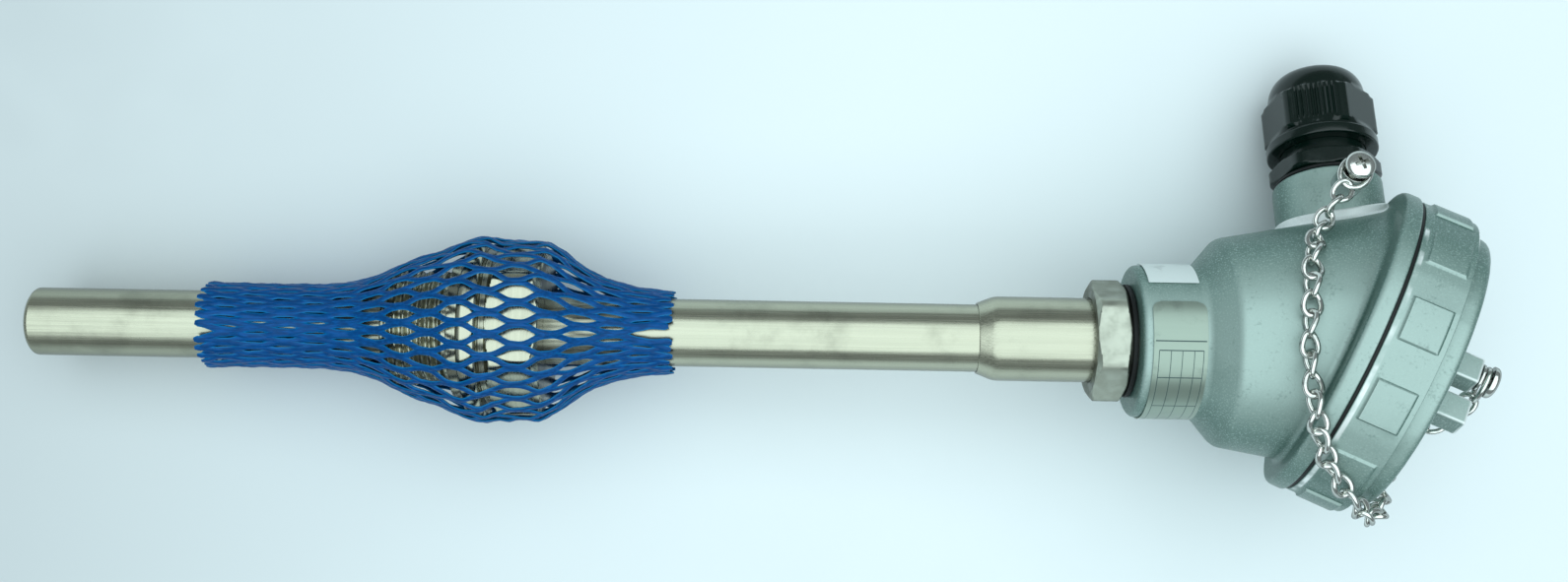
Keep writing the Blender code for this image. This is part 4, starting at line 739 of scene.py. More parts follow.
def plate_foil(name, colour):
    """Brushed foil with an empty printed table of thin lines."""
    material, tree = base_material(name, colour, 0.34, 0.75)
    lines = effect(tree, "drawn_lines", Along=60.0, Across=2400.0)
    smudge = effect(tree, "stains", Scale=160.0, Cover=0.5)["Mask"]
    ground = mixed(tree, smudge, mixed(tree, lines["Bands"], colour, shade(colour, 1.12)), shade(colour, 0.82))
    flat = new_node(tree, "SeparateXYZ", Vector=new_node(tree, "UVMap").outputs["UV"])
    around, along = flat.outputs["X"], flat.outputs["Y"]
    rows = table_lines(tree, along, PLATE_ROWS, 0.007, around, PLATE_HEAD, PLATE_FOOT)
    columns = table_lines(tree, around, PLATE_COLUMNS, 0.0032, along, PLATE_ROWS[0], PLATE_ROWS[-1])
    divider = table_lines(tree, around, (PLATE_DIVIDER,), 0.0036, along, 0.03, 0.97)
    ink = math_node(tree, "MAXIMUM", math_node(tree, "MAXIMUM", rows, columns), divider)
    return dressed(
        material,
        Base_Color=mixed(tree, ink, ground, screen(62, 84, 82)),
        Metallic=times(tree, math_node(tree, "SUBTRACT", 1.0, ink), 0.75),
        Normal=bump(tree, lines["Lines"], 0.00001, 0.4),
    )


def sticker_film(name, colour):
    """A plain white sticker, a little soiled."""
    material, tree = base_material(name, colour, 0.5, 0.0)
    soiled = mixed(tree, effect(tree, "stains", Scale=300.0, Cover=0.48)["Mask"], colour, shade(colour, 0.8))
    grain = effect(tree, "cast_grain", Scale=1200.0)
    return dressed(material, Base_Color=soiled, Normal=bump(tree, grain["Height"], 0.00002, 0.4))


def table_top(name, colour):
    """A pale smooth table top with the faintest unevenness, and painted shade that makes it dimmer to the left."""
    material, tree = base_material(name, colour, 0.5, 0.0, Specular_IOR_Level=0.25)
    across = new_node(tree, "SeparateXYZ", Vector=object_vector(tree)).outputs["X"]
    # Painted shade: darker to the left
    painted_left_shade = mixed(tree, eased(tree, across, -0.3, 0.05), shade(colour, 0.62), colour)
    cloudy = times(tree, effect(tree, "stains", Scale=3.0, Cover=0.5)["Mask"], 0.5)
    return dressed(material, Base_Color=mixed(tree, cloudy, painted_left_shade, shade(colour, 0.93)))


# Each finish: what makes it, then its colours and its other numbers. A name stands for a colour setting
FINISHES = {
    "sage_paint": (painted_casting, "paint", "paint_edge", "worn_paint"),
    "pale_paint": (pale_highlight_casting, "worn_paint"),
    "tube_steel": (drawn_steel, "steel", 0.25, 26.0, 2600.0),
    "turned_steel": (drawn_steel, "steel", 0.24, 5200.0, 40.0, 0.4),
    "zinc_plate": (drawn_steel, "zinc", 0.42, 300.0, 300.0, 0.42),
    "brass": (drawn_steel, screen(206, 176, 104), 0.3, 500.0, 500.0),
    "tinned_copper": (drawn_steel, screen(206, 196, 184), 0.3, 400.0, 400.0),
    "nickel_plate": (plated, "nickel", 0.14),
    "black_nylon": (moulded, "nylon", 0.22, 0.1),
    "black_rubber": (moulded, screen(20, 22, 22), 0.62),
    "fired_ceramic": (fired_ceramic, screen(226, 222, 210)),
    "net_plastic": (net_plastic, "net", "net_edge"),
    "plate_foil": (plate_foil, "foil"),
    "sticker_film": (sticker_film, "paper"),
    "table_top": (table_top, "floor"),
}


def give(obj, name, settings=None):
    """Gives a piece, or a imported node, one finish, which is made the first time it is asked for."""
    maker, *values = FINISHES[name]
    colours = settings or bpy.context.scene.sensor_colours
    values = [tuple(getattr(colours, value)) if isinstance(value, str) else value for value in values]
    obj.data.materials.clear()
    obj.data.materials.append(bpy.data.materials.get(name) or maker(name, *values))


# Pieces of the stem


def tube_profile():
    radius, bore = TUBE_RADIUS, TUBE_RADIUS - TUBE_WALL
    outside = [(0.0, 0.0, 0), (0.0, radius - 0.0009, 0.0002), (0.0007, radius, 0.0005), (SLEEVE_END, radius, 0)]
    return soften(outside + [(SLEEVE_END, bore, 0), (0.004, bore, 0), (0.004, 0.0, 0)])


def thread_radius(pitch, depth):
    """The radius of a screw thread at a place along X and round it."""
    first, last = THREAD_START, THREAD_START + THREAD_LENGTH

    def limit(x, angle, radius):
        if not first < x < last:
            return radius
        share = ((x - first) / pitch - angle / 360.0) % 1.0
        flank = abs(share - 0.5) * 2
        groove = depth * min(1.0, max(0.0, (flank - 0.12) / 0.7))
        run_out = min(1.0, (x - first) / (0.4 * pitch), (last - x) / (0.3 * pitch))
        coned = THREAD_RADIUS - THREAD_CHAMFER + (x - first)
        return min(THREAD_RADIUS - groove * run_out, coned)

    return limit


def fitting_mesh(sizes):
    """The process fitting: its thread, relief, collars and hexagon."""
    bore = TUBE_RADIUS + FIT_GAP
    last = THREAD_START + THREAD_LENGTH
    turns = max(1, round(THREAD_LENGTH / sizes.thread_pitch * 14))
    rows = [(THREAD_START, bore), (THREAD_START, THREAD_RADIUS - THREAD_CHAMFER)]
    rows += [(THREAD_START + THREAD_LENGTH * step / turns, THREAD_RADIUS) for step in range(1, turns)]
    hex_start = INSERTION_LENGTH + 0.009
    corner = corner_reach(FITTING_FLATS)
    collars = (
        *((0.0, 0.012, 0.0004), (0.0, 0.0165, 0.0003), (0.0025, 0.0165, 0.0003), (0.0025, 0.0148, 0.0001)),
        *((0.0031, 0.0148, 0.0001), (0.0031, 0.0206, 0.0014), (0.0076, 0.0206, 0.0014), (0.0076, 0.0172, 0.0003)),
        (0.009, 0.0172, 0),
    )
    rows += soften([(last, THREAD_RADIUS - 0.0006, 0), (last, 0.012, 0.0004)] + moved(INSERTION_LENGTH, collars))
    rows += hex_rows(hex_start, FITTING_END, FITTING_FLATS)
    rows += [(FITTING_END, corner * 0.8), (FITTING_END, bore)]
    thread = thread_radius(sizes.thread_pitch, sizes.thread_depth)
    hexagonal = hexagon(FITTING_FLATS, FITTING_PHASE, hex_start, FITTING_END)

    def limit(x, angle, radius):
        if radius <= bore:
            return radius
        return hexagonal(x, angle, thread(x, angle, radius))

    return turned_mesh("process_fitting", rows, hex_angles(FITTING_PHASE, 18), limit)


# The net's outline: stations from its left end, and the outer radius at each
NET_STATIONS = (
    *(0.0, 0.004, 0.018, 0.0295, 0.0372, 0.043, 0.0486, 0.0566, 0.0625),
    *(0.067, 0.073, 0.0793, 0.0838, 0.0886, 0.0938, 0.101, 0.1084),
)
NET_RADII = (
    *(0.0104, 0.01, 0.00992, 0.0101, 0.0113, 0.0135, 0.0164, 0.0188, 0.0216),
    *(0.0222, 0.0219, 0.0213, 0.0194, 0.0154, 0.0128, 0.0108, 0.0099),
)
NET_START = 0.0405
NET_LENGTH = 0.1108
NET_STRANDS = 52
NET_ON_HEXAGON = 0.1075
# The slits at its two ends: direction about the stem, how far it opens, its length and its shape
RIGHT_SLIT = (112.5, 13.0, 0.012, 1.4)
LEFT_SLIT = (119.0, 6.0, 0.01, 1.2)


def net_middle_radius(distance, thickness):
    """The radius of the strands' middle line, at a distance from the net's left end."""
    near = (distance + step * 0.0009 for step in range(-2, 3))
    smooth = sum(float(np.interp(x, NET_STATIONS, NET_RADII)) for x in near) / 5
    return smooth - thickness / 2


def hex_reach(angle, flats, phase):
    """How far a net drawn over a hexagon stands from the axis, between its flats and its corners."""
    offset = math.radians((angle - phase) % 60.0 - 30.0)
    return 0.55 * corner_reach(flats) + 0.45 * flats / 2 / math.cos(offset)


def strand_angle(number, distance, half_pitch):
    """The direction of a strand about the stem: it meets its two neighbours by turns at the knots."""
    spacing = 360.0 / NET_STRANDS
    side = 1.0 if number % 2 == 0 else -1.0
    wave = math.cos(math.pi * distance / half_pitch + 0.35 * math.sin(number * 12.9898 + 4.1))
    squared = wave * (1.0 - 0.22 * (wave * wave - 1.0))
    return spacing * (number + side * 0.42 * squared)


def parted(base, middle, width):
    """How far a strand's direction is pushed away from a middle one, to open a slit in the net."""
    offset = (base - middle + 180.0) % 360.0 - 180.0
    return math.copysign(width, offset) * math.exp(-abs(offset) / 34.0)


def net_mesh(sizes):
    """The net's strands, each a flat rounded cord that waves between its neighbours."""
    bm = bmesh.new()
    thin_edge = bm.verts.layers.float.new("thin_edge")
    half_width, half_thickness = sizes.strand_width / 2, sizes.strand_thickness / 2
    sides, step = 8, 0.00085
    for number in range(NET_STRANDS):
        unevenness = math.sin(number * 78.233 + 1.7)
        start = 0.0007 * (1 + unevenness)
        end = NET_LENGTH - 0.0006 * (1 + math.sin(number * 39.425))
        count = round((end - start) / step)
        centres, weights = [], []
        for place in range(count + 1):
            distance = start + (end - start) * place / count
            x = NET_START + distance
            angle = strand_angle(number, distance, sizes.net_half_pitch)
            base = 360.0 / NET_STRANDS * number
            for from_end, slit in ((NET_LENGTH - distance, RIGHT_SLIT), (distance, LEFT_SLIT)):
                middle, opening, reach, power = slit
                angle += parted(base, middle, opening * max(0.0, 1.0 - from_end / reach) ** power)
            radius = net_middle_radius(distance, sizes.strand_thickness)
            on_hex = min(1.0, max(0.0, (x - NET_ON_HEXAGON) / 0.003), max(0.0, (FITTING_END + 0.001 - x) / 0.003))
            if on_hex > 0:
                flat = hex_reach(angle, FITTING_FLATS, FITTING_PHASE) + half_thickness + 0.00025
                radius += (flat - radius) * on_hex
            knot = abs(math.cos(math.pi * distance / sizes.net_half_pitch)) ** 6
            radius += 0.00016 * math.sin(number * 4.7 + distance * 900.0) * (1 - knot)
            centres.append(around(x, radius, angle))
            near_tube = smooth_step(radius, 0.016, 0.0105) if radius < 0.016 else 0.0
            weights.append(1.0 + 0.18 * knot + 0.22 * near_tube)
        rows = []
        for place, (centre, weight) in enumerate(zip(centres, weights)):
            along = (centres[min(place + 1, count)] - centres[max(place - 1, 0)]).normalized()
            outward = Vector((0, centre.y, centre.z)).normalized()
            across = along.cross(outward).normalized()
            up = across.cross(along).normalized()
            taper = 0.55 if place in (0, count) else 1.0
            row = []
            for side in range(sides):
                turn = 2 * math.pi * side / sides
                width = math.cos(turn) * half_width * weight * taper
                height = math.sin(turn) * half_thickness * taper
                vert = bm.verts.new(centre + across * width + up * height)
                vert[thin_edge] = abs(math.cos(turn)) ** 2
                row.append(vert)
            rows.append(row)
        for first, second in zip(rows, rows[1:]):
            join_rows(bm, first, second)
        bm.faces.new(rows[0])
        bm.faces.new(list(reversed(rows[-1])))
    return mesh_of("net_sleeve", bm)


def neck_nut_mesh():
    bore = SLEEVE_RADIUS + FIT_GAP
    rows = [(NECK_NUT_START, bore), (NECK_NUT_START, 0.0118)]
    rows += hex_rows(NECK_NUT_START, NECK_NUT_END, NECK_NUT_FLATS)
    rows += [(NECK_NUT_END, 0.0115), (NECK_NUT_END + 0.013, 0.0115), (NECK_NUT_END + 0.013, bore)]
    limit = hexagon(NECK_NUT_FLATS, NECK_NUT_PHASE, NECK_NUT_START, NECK_NUT_END)
    return turned_mesh("neck_nut", rows, hex_angles(NECK_NUT_PHASE), limit)


def sleeve_profile():
    bore = TUBE_RADIUS + FIT_GAP
    coned = moved(SLEEVE_START, ((0.0, bore, 0), (0.0, bore + 0.0003, 0.0002), (0.004, SLEEVE_RADIUS, 0.0012)))
    return soften(coned + [(SLEEVE_END, SLEEVE_RADIUS, 0), (SLEEVE_END, bore, 0)])


# Pieces of the head


def casting_ring(depth, angles, outward=0.0):
    """Where the flared body meets the plane at a depth under the seal, or a ring a little outside it."""
    tilt = math.tan(math.radians(CAP_TILT))
    flare = math.tan(math.radians(BODY_FLARE))
    crossing = CAP_STATION - depth / math.cos(math.radians(CAP_TILT))
    base = BODY_RADIUS + (crossing - BODY_START) * flare
    points = []
    for angle in angles:
        turn = math.radians(angle)
        reach = base / (1 - math.cos(turn) * tilt * flare) + outward
        sideways = reach * math.cos(turn)
        points.append(Vector((crossing + sideways * tilt, sideways, reach * math.sin(turn))))
    return points


def tilted_ring(x, radius, angles):
    return [cap_frame() @ point for point in ring(x, radius, angles)]


def curved_rows(first, corner, last, steps=5):
    """Rings on a rounded corner, from one ring to another past a third."""
    shares = [step / steps for step in range(steps + 1)]
    return [[bend(a, b, c, share) for a, b, c in zip(first, corner, last)] for share in shares]


def casting_mesh():
    """The casting's neck, shoulder, flared body, flange and cavity in one skin."""
    angles = even_angles(168)
    socket, flared = NECK_START + NECK_SOCKET_DEPTH, 0.006
    straight = [(socket, NECK_SOCKET_RADIUS, 0), (NECK_START, NECK_SOCKET_RADIUS, 0.0003)]
    straight += [(NECK_START, NECK_RADIUS, 0.0016), (NECK_END, NECK_RADIUS, 0.0014), (BODY_START, BODY_RADIUS, 0.0012)]
    straight += [(BODY_START + flared, BODY_RADIUS + flared * math.tan(math.radians(BODY_FLARE)), 0)]
    rings = [ring(x, radius, angles) for x, radius in soften(straight, 6)]
    fillet, edge, lip, rim = 0.0018, 0.0016, 0.0006, FLANGE_RADIUS
    rings += curved_rows(
        casting_ring(-FLANGE_BACK + fillet, angles),
        casting_ring(-FLANGE_BACK, angles),
        casting_ring(-FLANGE_BACK, angles, fillet),
    )
    for steps, corner in (
        (5, ((FLANGE_BACK, rim - edge), (FLANGE_BACK, rim), (FLANGE_BACK + edge, rim))),
        (3, ((FLANGE_FACE - lip, rim), (FLANGE_FACE, rim), (FLANGE_FACE, rim - lip))),
    ):
        rings += curved_rows(*(tilted_ring(x, radius, angles) for x, radius in corner), steps)
    mouth = ((FLANGE_FACE, MOUTH_RADIUS + 0.0005), (FLANGE_FACE - 0.0005, MOUTH_RADIUS), (-0.0095, MOUTH_RADIUS))
    rings += [tilted_ring(x, radius, angles) for x, radius in (*mouth, (-0.0113, MOUTH_RADIUS - 0.0018))]
    floor, way = BODY_START - 0.0005, WIRE_WAY_RADIUS
    rings += [ring(x, radius, angles) for x, radius in ((floor, 0.0202), (floor, way), (socket, way))]
    return skin_mesh("head_body", rings)


def foot_finder(mesh):
    """How far from the stem's axis a line along the gland's axis meets a mesh."""
    tree = BVHTree.FromPolygons([v.co[:] for v in mesh.vertices], [p.vertices[:] for p in mesh.polygons])
    place = gland_frame()
    down = (place.to_3x3() @ Vector((-1, 0, 0))).normalized()
    above = GLAND_MOUTH

    def foot(angle, radius):
        hit, _, _, distance = tree.ray_cast(place @ around(above, radius, angle), down)
        return BOSS_FOOT if hit is None else above - distance

    return foot


def raised_mesh():
    """The flared body, grown by the rise of the collar at the boss's foot."""
    angles = even_angles(168)
    before = 0.0057
    first = BODY_RADIUS + BOSS_COLLAR_RISE - before * math.tan(math.radians(BODY_FLARE))
    rings = [ring(BODY_START - before, first, angles), casting_ring(-FLANGE_BACK, angles, BOSS_COLLAR_RISE)]
    return skin_mesh("raised_body", rings)


def boss_meshes(foot):
    """The gland's boss: a low collar that follows the casting, and the boss that stands in it."""
    angles = even_angles(120)
    blend, outer_radius = 0.0009, BOSS_COLLAR_RADIUS
    raised = raised_mesh()
    top = foot_finder(raised)
    bpy.data.meshes.remove(raised)

    def row(reaches, radius):
        return [around(reach, radius, angle) for reach, angle in zip(reaches, angles)]

    tops = [top(angle, outer_radius) for angle in angles]
    inner_tops = [top(angle, BOSS_RADIUS) for angle in angles]
    feet = [min(foot(angle, outer_radius), high - 0.0008) for angle, high in zip(angles, tops)]
    outer_feet = [min(foot(angle, outer_radius + blend), low) - 0.00002 for angle, low in zip(angles, feet)]
    edge = 0.0005
    rows = curved_rows(
        row(outer_feet, outer_radius + blend),
        row(feet, outer_radius),
        row([min(low + blend, high - edge) for low, high in zip(feet, tops)], outer_radius),
    )
    rows += curved_rows(
        row([high - edge for high in tops], outer_radius),
        row(tops, outer_radius),
        row([(a + b) / 2 for a, b in zip(tops, inner_tops)], (outer_radius + BOSS_RADIUS) / 2),
    )
    rows.append(row(inner_tops, BOSS_RADIUS - 0.0003))
    boss = [(BOSS_FOOT, BOSS_RADIUS, 0), (BOSS_REACH, BOSS_RADIUS, 0.0007)]
    boss += [(BOSS_REACH, 0.0092, 0.0002), (BOSS_FOOT, 0.0092, 0)]
    boss_rows = [ring(x, radius, angles) for x, radius in soften(boss)]
    return skin_mesh("boss_collar", rows), skin_mesh("gland_boss", boss_rows)


def pad_angles():
    """Ring angles with close rows at the flanks of the grip pads."""
    half = PAD_SPAN / 2
    places = [-half - 0.9, -half - 0.55, -half - 0.2, -half + 0.15, -half + 0.5, -half * 0.5, 0.0]
    places += [-place for place in reversed(places[:-1])] + [half + 3.7, half + 7.5 - 0.9]
    return [PAD_PHASE + 360.0 / PAD_COUNT * pad + place for pad in range(PAD_COUNT) for place in places]


def smooth_step(value, low, high):
    share = min(1.0, max(0.0, (value - low) / (high - low)))
    return share * share * (3 - 2 * share)


def cap_mesh(sizes):
    """The screw cap: a band with raised grip pads, a tier with rounded edges, and a hollow skirt."""
    pad_low, pad_high = CAP_FACE + 0.0019, CAP_BAND_END - 0.0012
    band = [CAP_FACE + 0.0009 + (CAP_BAND_LENGTH - 0.0015) * step / 36 for step in range(37)]
    skirt, hollow = MOUTH_RADIUS - 0.0003, MOUTH_RADIUS - 0.0033
    profile = soften([(-CAP_SKIRT, skirt, 0), (CAP_FACE, skirt, 0), (CAP_FACE, CAP_BAND_RADIUS - 0.0006, 0)])
    profile += soften(
        [(CAP_FACE, CAP_BAND_RADIUS - 0.0006, 0), (CAP_FACE, CAP_BAND_RADIUS, 0.0006), (band[0], CAP_BAND_RADIUS, 0)]
    )[1:]
    profile += [(x, CAP_BAND_RADIUS) for x in band]
    profile += soften(
        [
            (band[-1] + 0.0001, CAP_BAND_RADIUS, 0),
            (CAP_BAND_END, CAP_BAND_RADIUS, 0.0005),
            (CAP_BAND_END, CAP_TIER_RADIUS, 0.0008),
            (CAP_TOP, CAP_TIER_RADIUS, 0.0022),
            (CAP_TOP, CAP_TIER_RADIUS - 0.006, 0),
            (CAP_TOP, 0.012, 0),
            (CAP_TOP, 0, 0),
        ],
        6,
    )
    inside = [(CAP_TOP - 0.003, 0), (CAP_TOP - 0.003, hollow), (-CAP_SKIRT, hollow)]

    def limit(x, angle, radius):
        if abs(radius - CAP_BAND_RADIUS) > 1e-6:
            return radius
        pitch = 360.0 / PAD_COUNT
        offset = abs((angle - PAD_PHASE + pitch / 2) % pitch - pitch / 2)
        across = 1.0 - smooth_step(offset, PAD_SPAN / 2 - 0.1, PAD_SPAN / 2 + 0.7)
        along = smooth_step(x, pad_low, pad_low + 0.0006) * (1 - smooth_step(x, pad_high - 0.0005, pad_high))
        return radius + sizes.pad_height * across * along

    rings = [ring(x, radius, pad_angles(), limit) for x, radius in profile if radius > 0]
    rings.append([Vector((CAP_TOP, 0, 0))])
    shell = skin_mesh("cap", rings)
    inner = turned_mesh("cap_inside", inside, even_angles(96))
    bm = bmesh.new()
    bm.from_mesh(shell)
    bm.from_mesh(inner)
    bpy.data.meshes.remove(inner)
    bpy.data.meshes.remove(shell)
    mesh = bpy.data.meshes.new("cap")
    bm.to_mesh(mesh)
    bm.free()
    return mesh


def label_mesh(name, start, end, low, high, radius, corner):
    """A thin sheet bent round the neck, with rounded corners at its first end and its own flat coordinates."""
    bm = bmesh.new()
    flat = bm.loops.layers.uv.new("flat")
    around, along = 72, 20
    thickness = 0.00018
    span = math.radians(end - start)
    layers = []
    for lift in (0.0, thickness):
        rows = []
        for i in range(around + 1):
            share = i / around
            from_end = share * span * radius
            inset = corner - math.sqrt(max(0.0, corner**2 - max(0.0, corner - from_end) ** 2))
            row = []
            for j in range(along + 1):
                v = j / along
                x = low + inset + (high - low - 2 * inset) * v
                turn = math.radians(start) + span * share
                reach = radius + lift
                vert = bm.verts.new((x, reach * math.cos(turn), reach * math.sin(turn)))
                row.append((vert, (share, (x - low) / (high - low))))
            rows.append(row)
        layers.append(rows)
    places = {}
    for rows in layers:
        for row in rows:
            for vert, uv in row:
                places[vert] = uv
        for first, second in zip(rows, rows[1:]):
            for j in range(along):
                bm.faces.new((first[j][0], first[j + 1][0], second[j + 1][0], second[j][0]))
    low_rows, high_rows = layers
    rim = [(i, 0) for i in range(around + 1)] + [(around, j) for j in range(1, along + 1)]
    rim += [(i, along) for i in reversed(range(around))] + [(0, j) for j in reversed(range(1, along))]
    for (i, j), (k, m) in zip(rim, rim[1:] + rim[:1]):
        bm.faces.new((low_rows[i][j][0], low_rows[k][m][0], high_rows[k][m][0], high_rows[i][j][0]))
    for face in bm.faces:
        for loop in face.loops:
            loop[flat].uv = places[loop.vert]
    return mesh_of(name, bm)


# Pieces of the gland


def gland_body_mesh():
    rows = [(GLAND_HEX_START - 0.012, 0.0071), (GLAND_HEX_START - 0.012, 0.0089), (GLAND_HEX_START, 0.0089)]
    rows += hex_rows(GLAND_HEX_START, GLAND_HEX_END, GLAND_FLATS)
    rows += soften([(GLAND_HEX_END, 0.0103, 0), (GLAND_NECK_END, 0.0101, 0.0003), (GLAND_NECK_END, 0.0071, 0)])
    limit = hexagon(GLAND_FLATS, GLAND_HEX_PHASE, GLAND_HEX_START, GLAND_HEX_END)
    return turned_mesh("gland_body", rows, hex_angles(GLAND_HEX_PHASE), limit)


def gland_nut_angles(pitch):
    """Ring angles at each rib's crest, flanks and root, and at softened corners."""
    angles = []
    half = GLAND_FLATS / 2 * math.tan(math.radians(30))
    for face in range(6):
        middle = GLAND_NUT_PHASE + 60.0 * face
        steps = round(2 * half / pitch) * 6 if face % 2 == 1 else 26
        for step in range(steps):
            across = -half + 2 * half * step / steps
            angles.append(middle + math.degrees(math.atan(across / (GLAND_FLATS / 2))))
    return angles


def gland_nut_mesh(sizes):
    """The dome nut: a round skirt, six faces with ribs on alternate ones, and a dome with the mouth."""
    bore = 0.0104
    corner = corner_reach(GLAND_FLATS)
    skirt, waist = 0.01335, 0.01335 - 0.0009
    rim = ((0.0, bore, 0), (0.0, skirt, 0.0005), (0.0026, skirt, 0.0006), (0.0029, waist, 0.0003))
    profile = soften(moved(GLAND_NUT_START, rim) + [(GLAND_NUT_HEX_START, waist, 0)])
    hex_length = GLAND_DOME_START - GLAND_NUT_HEX_START
    profile += [(GLAND_NUT_HEX_START + hex_length * step / 16, corner) for step in range(1, 17)]
    dome_base, lip, dome_length = GLAND_FLATS / 2 - 0.0003, 0.0083, GLAND_MOUTH - GLAND_DOME_START
    arc_end = math.radians(78.0)
    for step in range(1, 13):
        arc = arc_end * step / 12
        x = GLAND_DOME_START + dome_length * math.sin(arc) / math.sin(arc_end)
        drop = (1 - math.cos(arc)) / (1 - math.cos(arc_end))
        profile.append((x, dome_base + (lip - dome_base) * drop))
    mouth = moved(GLAND_MOUTH, ((0.0, lip - 0.0002, 0), (0.0, 0.0065, 0.0005), (-0.0035, 0.0065, 0.0003)))
    profile += soften(mouth + moved(GLAND_NECK_END, ((0.0064, 0.0081, 0), (0.0003, 0.0081, 0), (0.0003, bore, 0))))
    rib_low, rib_high = GLAND_NUT_HEX_START + 0.0012, GLAND_DOME_START - 0.0006

    def limit(x, angle, radius):
        if radius < corner - 1e-6:
            return radius
        face = math.floor((angle - GLAND_NUT_PHASE + 30.0) / 60.0)
        offset = math.radians(angle - GLAND_NUT_PHASE - 60.0 * face)
        distance = GLAND_FLATS / 2
        if face % 2 == 1:
            across = distance * math.tan(offset)
            share = (across / sizes.rib_pitch) % 1.0
            groove = smooth_step(abs(share - 0.5) * 2, 0.25, 0.75)
            ends = smooth_step(x, rib_low, rib_low + 0.0006) * (1 - smooth_step(x, rib_high - 0.0005, rib_high))
            side = 1 - smooth_step(abs(math.degrees(offset)), 23.0, 25.0)
            distance -= sizes.rib_depth * groove * ends * side
        flat = distance / math.cos(offset)
        first = 0.0125 + (x - GLAND_NUT_HEX_START) * 1.9
        last = dome_base + (GLAND_DOME_START - x) * 1.5
        return min(flat, corner - 0.00035, first, last)

    return turned_mesh("gland_nut", profile, gland_nut_angles(sizes.rib_pitch), limit)


def screw_profile(under, radius, height, shank, reach):
    rows = [(under - reach, 0.0), (under - reach, shank), (under, shank)]
    rows += soften([(under, radius - 0.0002, 0), (under, radius, 0.0001), (under + height * 0.3, radius, 0)])[1:]
    for step in range(1, 9):
        turn = math.radians(90 * step / 8)
        reach_out = radius * (1 - 0.12 * (1 - math.cos(turn))) * math.cos(turn) ** 0.55 if step < 8 else 0.0
        rows.append((under + height * (0.3 + 0.7 * math.sin(turn)), reach_out))
    return rows


def cross_mesh(top, radius, depth):
    """The cutter for a cross recess: a plus sign that narrows with depth."""
    bm = bmesh.new()
    rows = []
    for x, arm, half in ((top + 0.001, radius * 0.66, radius * 0.15), (top - depth, radius * 0.3, radius * 0.08)):
        row = []
        for quarter in range(4):
            turn = Matrix.Rotation(math.radians(90 * quarter + 20), 4, "X")
            row += [bm.verts.new(turn @ Vector((x, a, b))) for a, b in ((arm, -half), (arm, half), (half, half))]
        rows.append(row)
    upper, lower = rows
    bm.faces.new(upper)
    bm.faces.new(list(reversed(lower)))
    for i in range(12):
        j = (i + 1) % 12
        bm.faces.new((upper[i], lower[i], lower[j], upper[j]))
    return mesh_of("cross", bm)


# The chain


def spline(points, share):
    """A point on a smooth curve through all the points, at a share of its spans."""
    spans = len(points) - 1
    place = min(share * spans, spans - 1e-9)
    i = int(place)
    t = place - i
    before = points[max(i - 1, 0)]
    start, end = points[i], points[i + 1]
    after = points[min(i + 2, spans)]
    pull_in = (end - before) / 2
    pull_out = (after - start) / 2
    cube, square = t**3, t**2
    point = start * (2 * cube - 3 * square + 1) + pull_in * (cube - 2 * square + t)
    return point + end * (3 * square - 2 * cube) + pull_out * (cube - square)


def chain_eyes(wire):
    """The middles and axes of the eyes under the two screw heads, in the stem's axes."""
    rise = SEAT_GAP * 2 + WASHER_THICKNESS + wire / 2
    eyes = []
    for place, face in ((gland_frame() @ lug_frame(), LUG_REACH), (cap_frame() @ post_frame(1), POST_END)):
        eyes.append((place @ Vector((face + rise, 0, 0)), (place.to_3x3() @ Vector((1, 0, 0))).normalized()))
    return eyes


def chain_joints(wire):
    """Where neighbouring links meet, at equal distances from the lug to the post."""
    points = []
    for depth, angle in CHAIN_ON_BODY:
        points.append(casting_ring(depth, [angle], CHAIN_CLEARANCE)[0])
    rim = FLANGE_RADIUS + CHAIN_CLEARANCE
    points += [tilted_ring(x, rim, [angle])[0] for x, angle in CHAIN_ON_RIM]
    edge = CAP_TIER_RADIUS
    points += [cap_frame() @ Vector((CAP_TOP + x, -edge - y, z)) for x, y, z in CHAIN_OVER_EDGE]
    points += [cap_frame() @ Vector((CAP_TOP + x, y, z)) for x, y, z in CHAIN_ON_FACE]
    (lug, _), (post, _) = chain_eyes(wire)
    reach = CHAIN_EYE_REACH - wire / 2 + 0.00015
    first = lug + (points[0] - lug).normalized() * reach
    last = post + (points[-1] - post).normalized() * reach
    route = [first] + points + [last]
    fine = [spline(route, step / 3000) for step in range(3001)]
    lengths = np.cumsum([0.0] + [(b - a).length for a, b in zip(fine, fine[1:])])
    count = round(lengths[-1] / CHAIN_PITCH)
    joints = []
    for link in range(count + 1):
        place = int(np.searchsorted(lengths, lengths[-1] * link / count))
        joints.append(fine[min(place, len(fine) - 1)])
    return joints


def add_link(bm, middle, along, across, half_length, half_width, wire, twist):
    """One oval of round wire, twisted as a curb link is."""
    normal = along.cross(across)
    rows, steps, sides = [], 28, 10
    for step in range(steps):
        turn = 2 * math.pi * step / steps
        shape = Vector((half_length * math.cos(turn), half_width * math.sin(turn), twist * math.sin(2 * turn)))
        slope = Vector(
            (-half_length * math.sin(turn), half_width * math.cos(turn), 2 * twist * math.cos(2 * turn))
        ).normalized()
        outward = Vector((math.cos(turn) / half_length, math.sin(turn) / half_width, 0)).normalized()
        side_way = slope.cross(outward).normalized()
        outward = side_way.cross(slope)
        row = []
        for side in range(sides):
            angle = 2 * math.pi * side / sides
            local = shape + (outward * math.cos(angle) + side_way * math.sin(angle)) * (wire / 2)
            row.append(bm.verts.new(middle + along * local.x + across * local.y + normal * local.z))
        rows.append(row)
    for first, second in zip(rows, rows[1:] + rows[:1]):
        join_rows(bm, first, second)


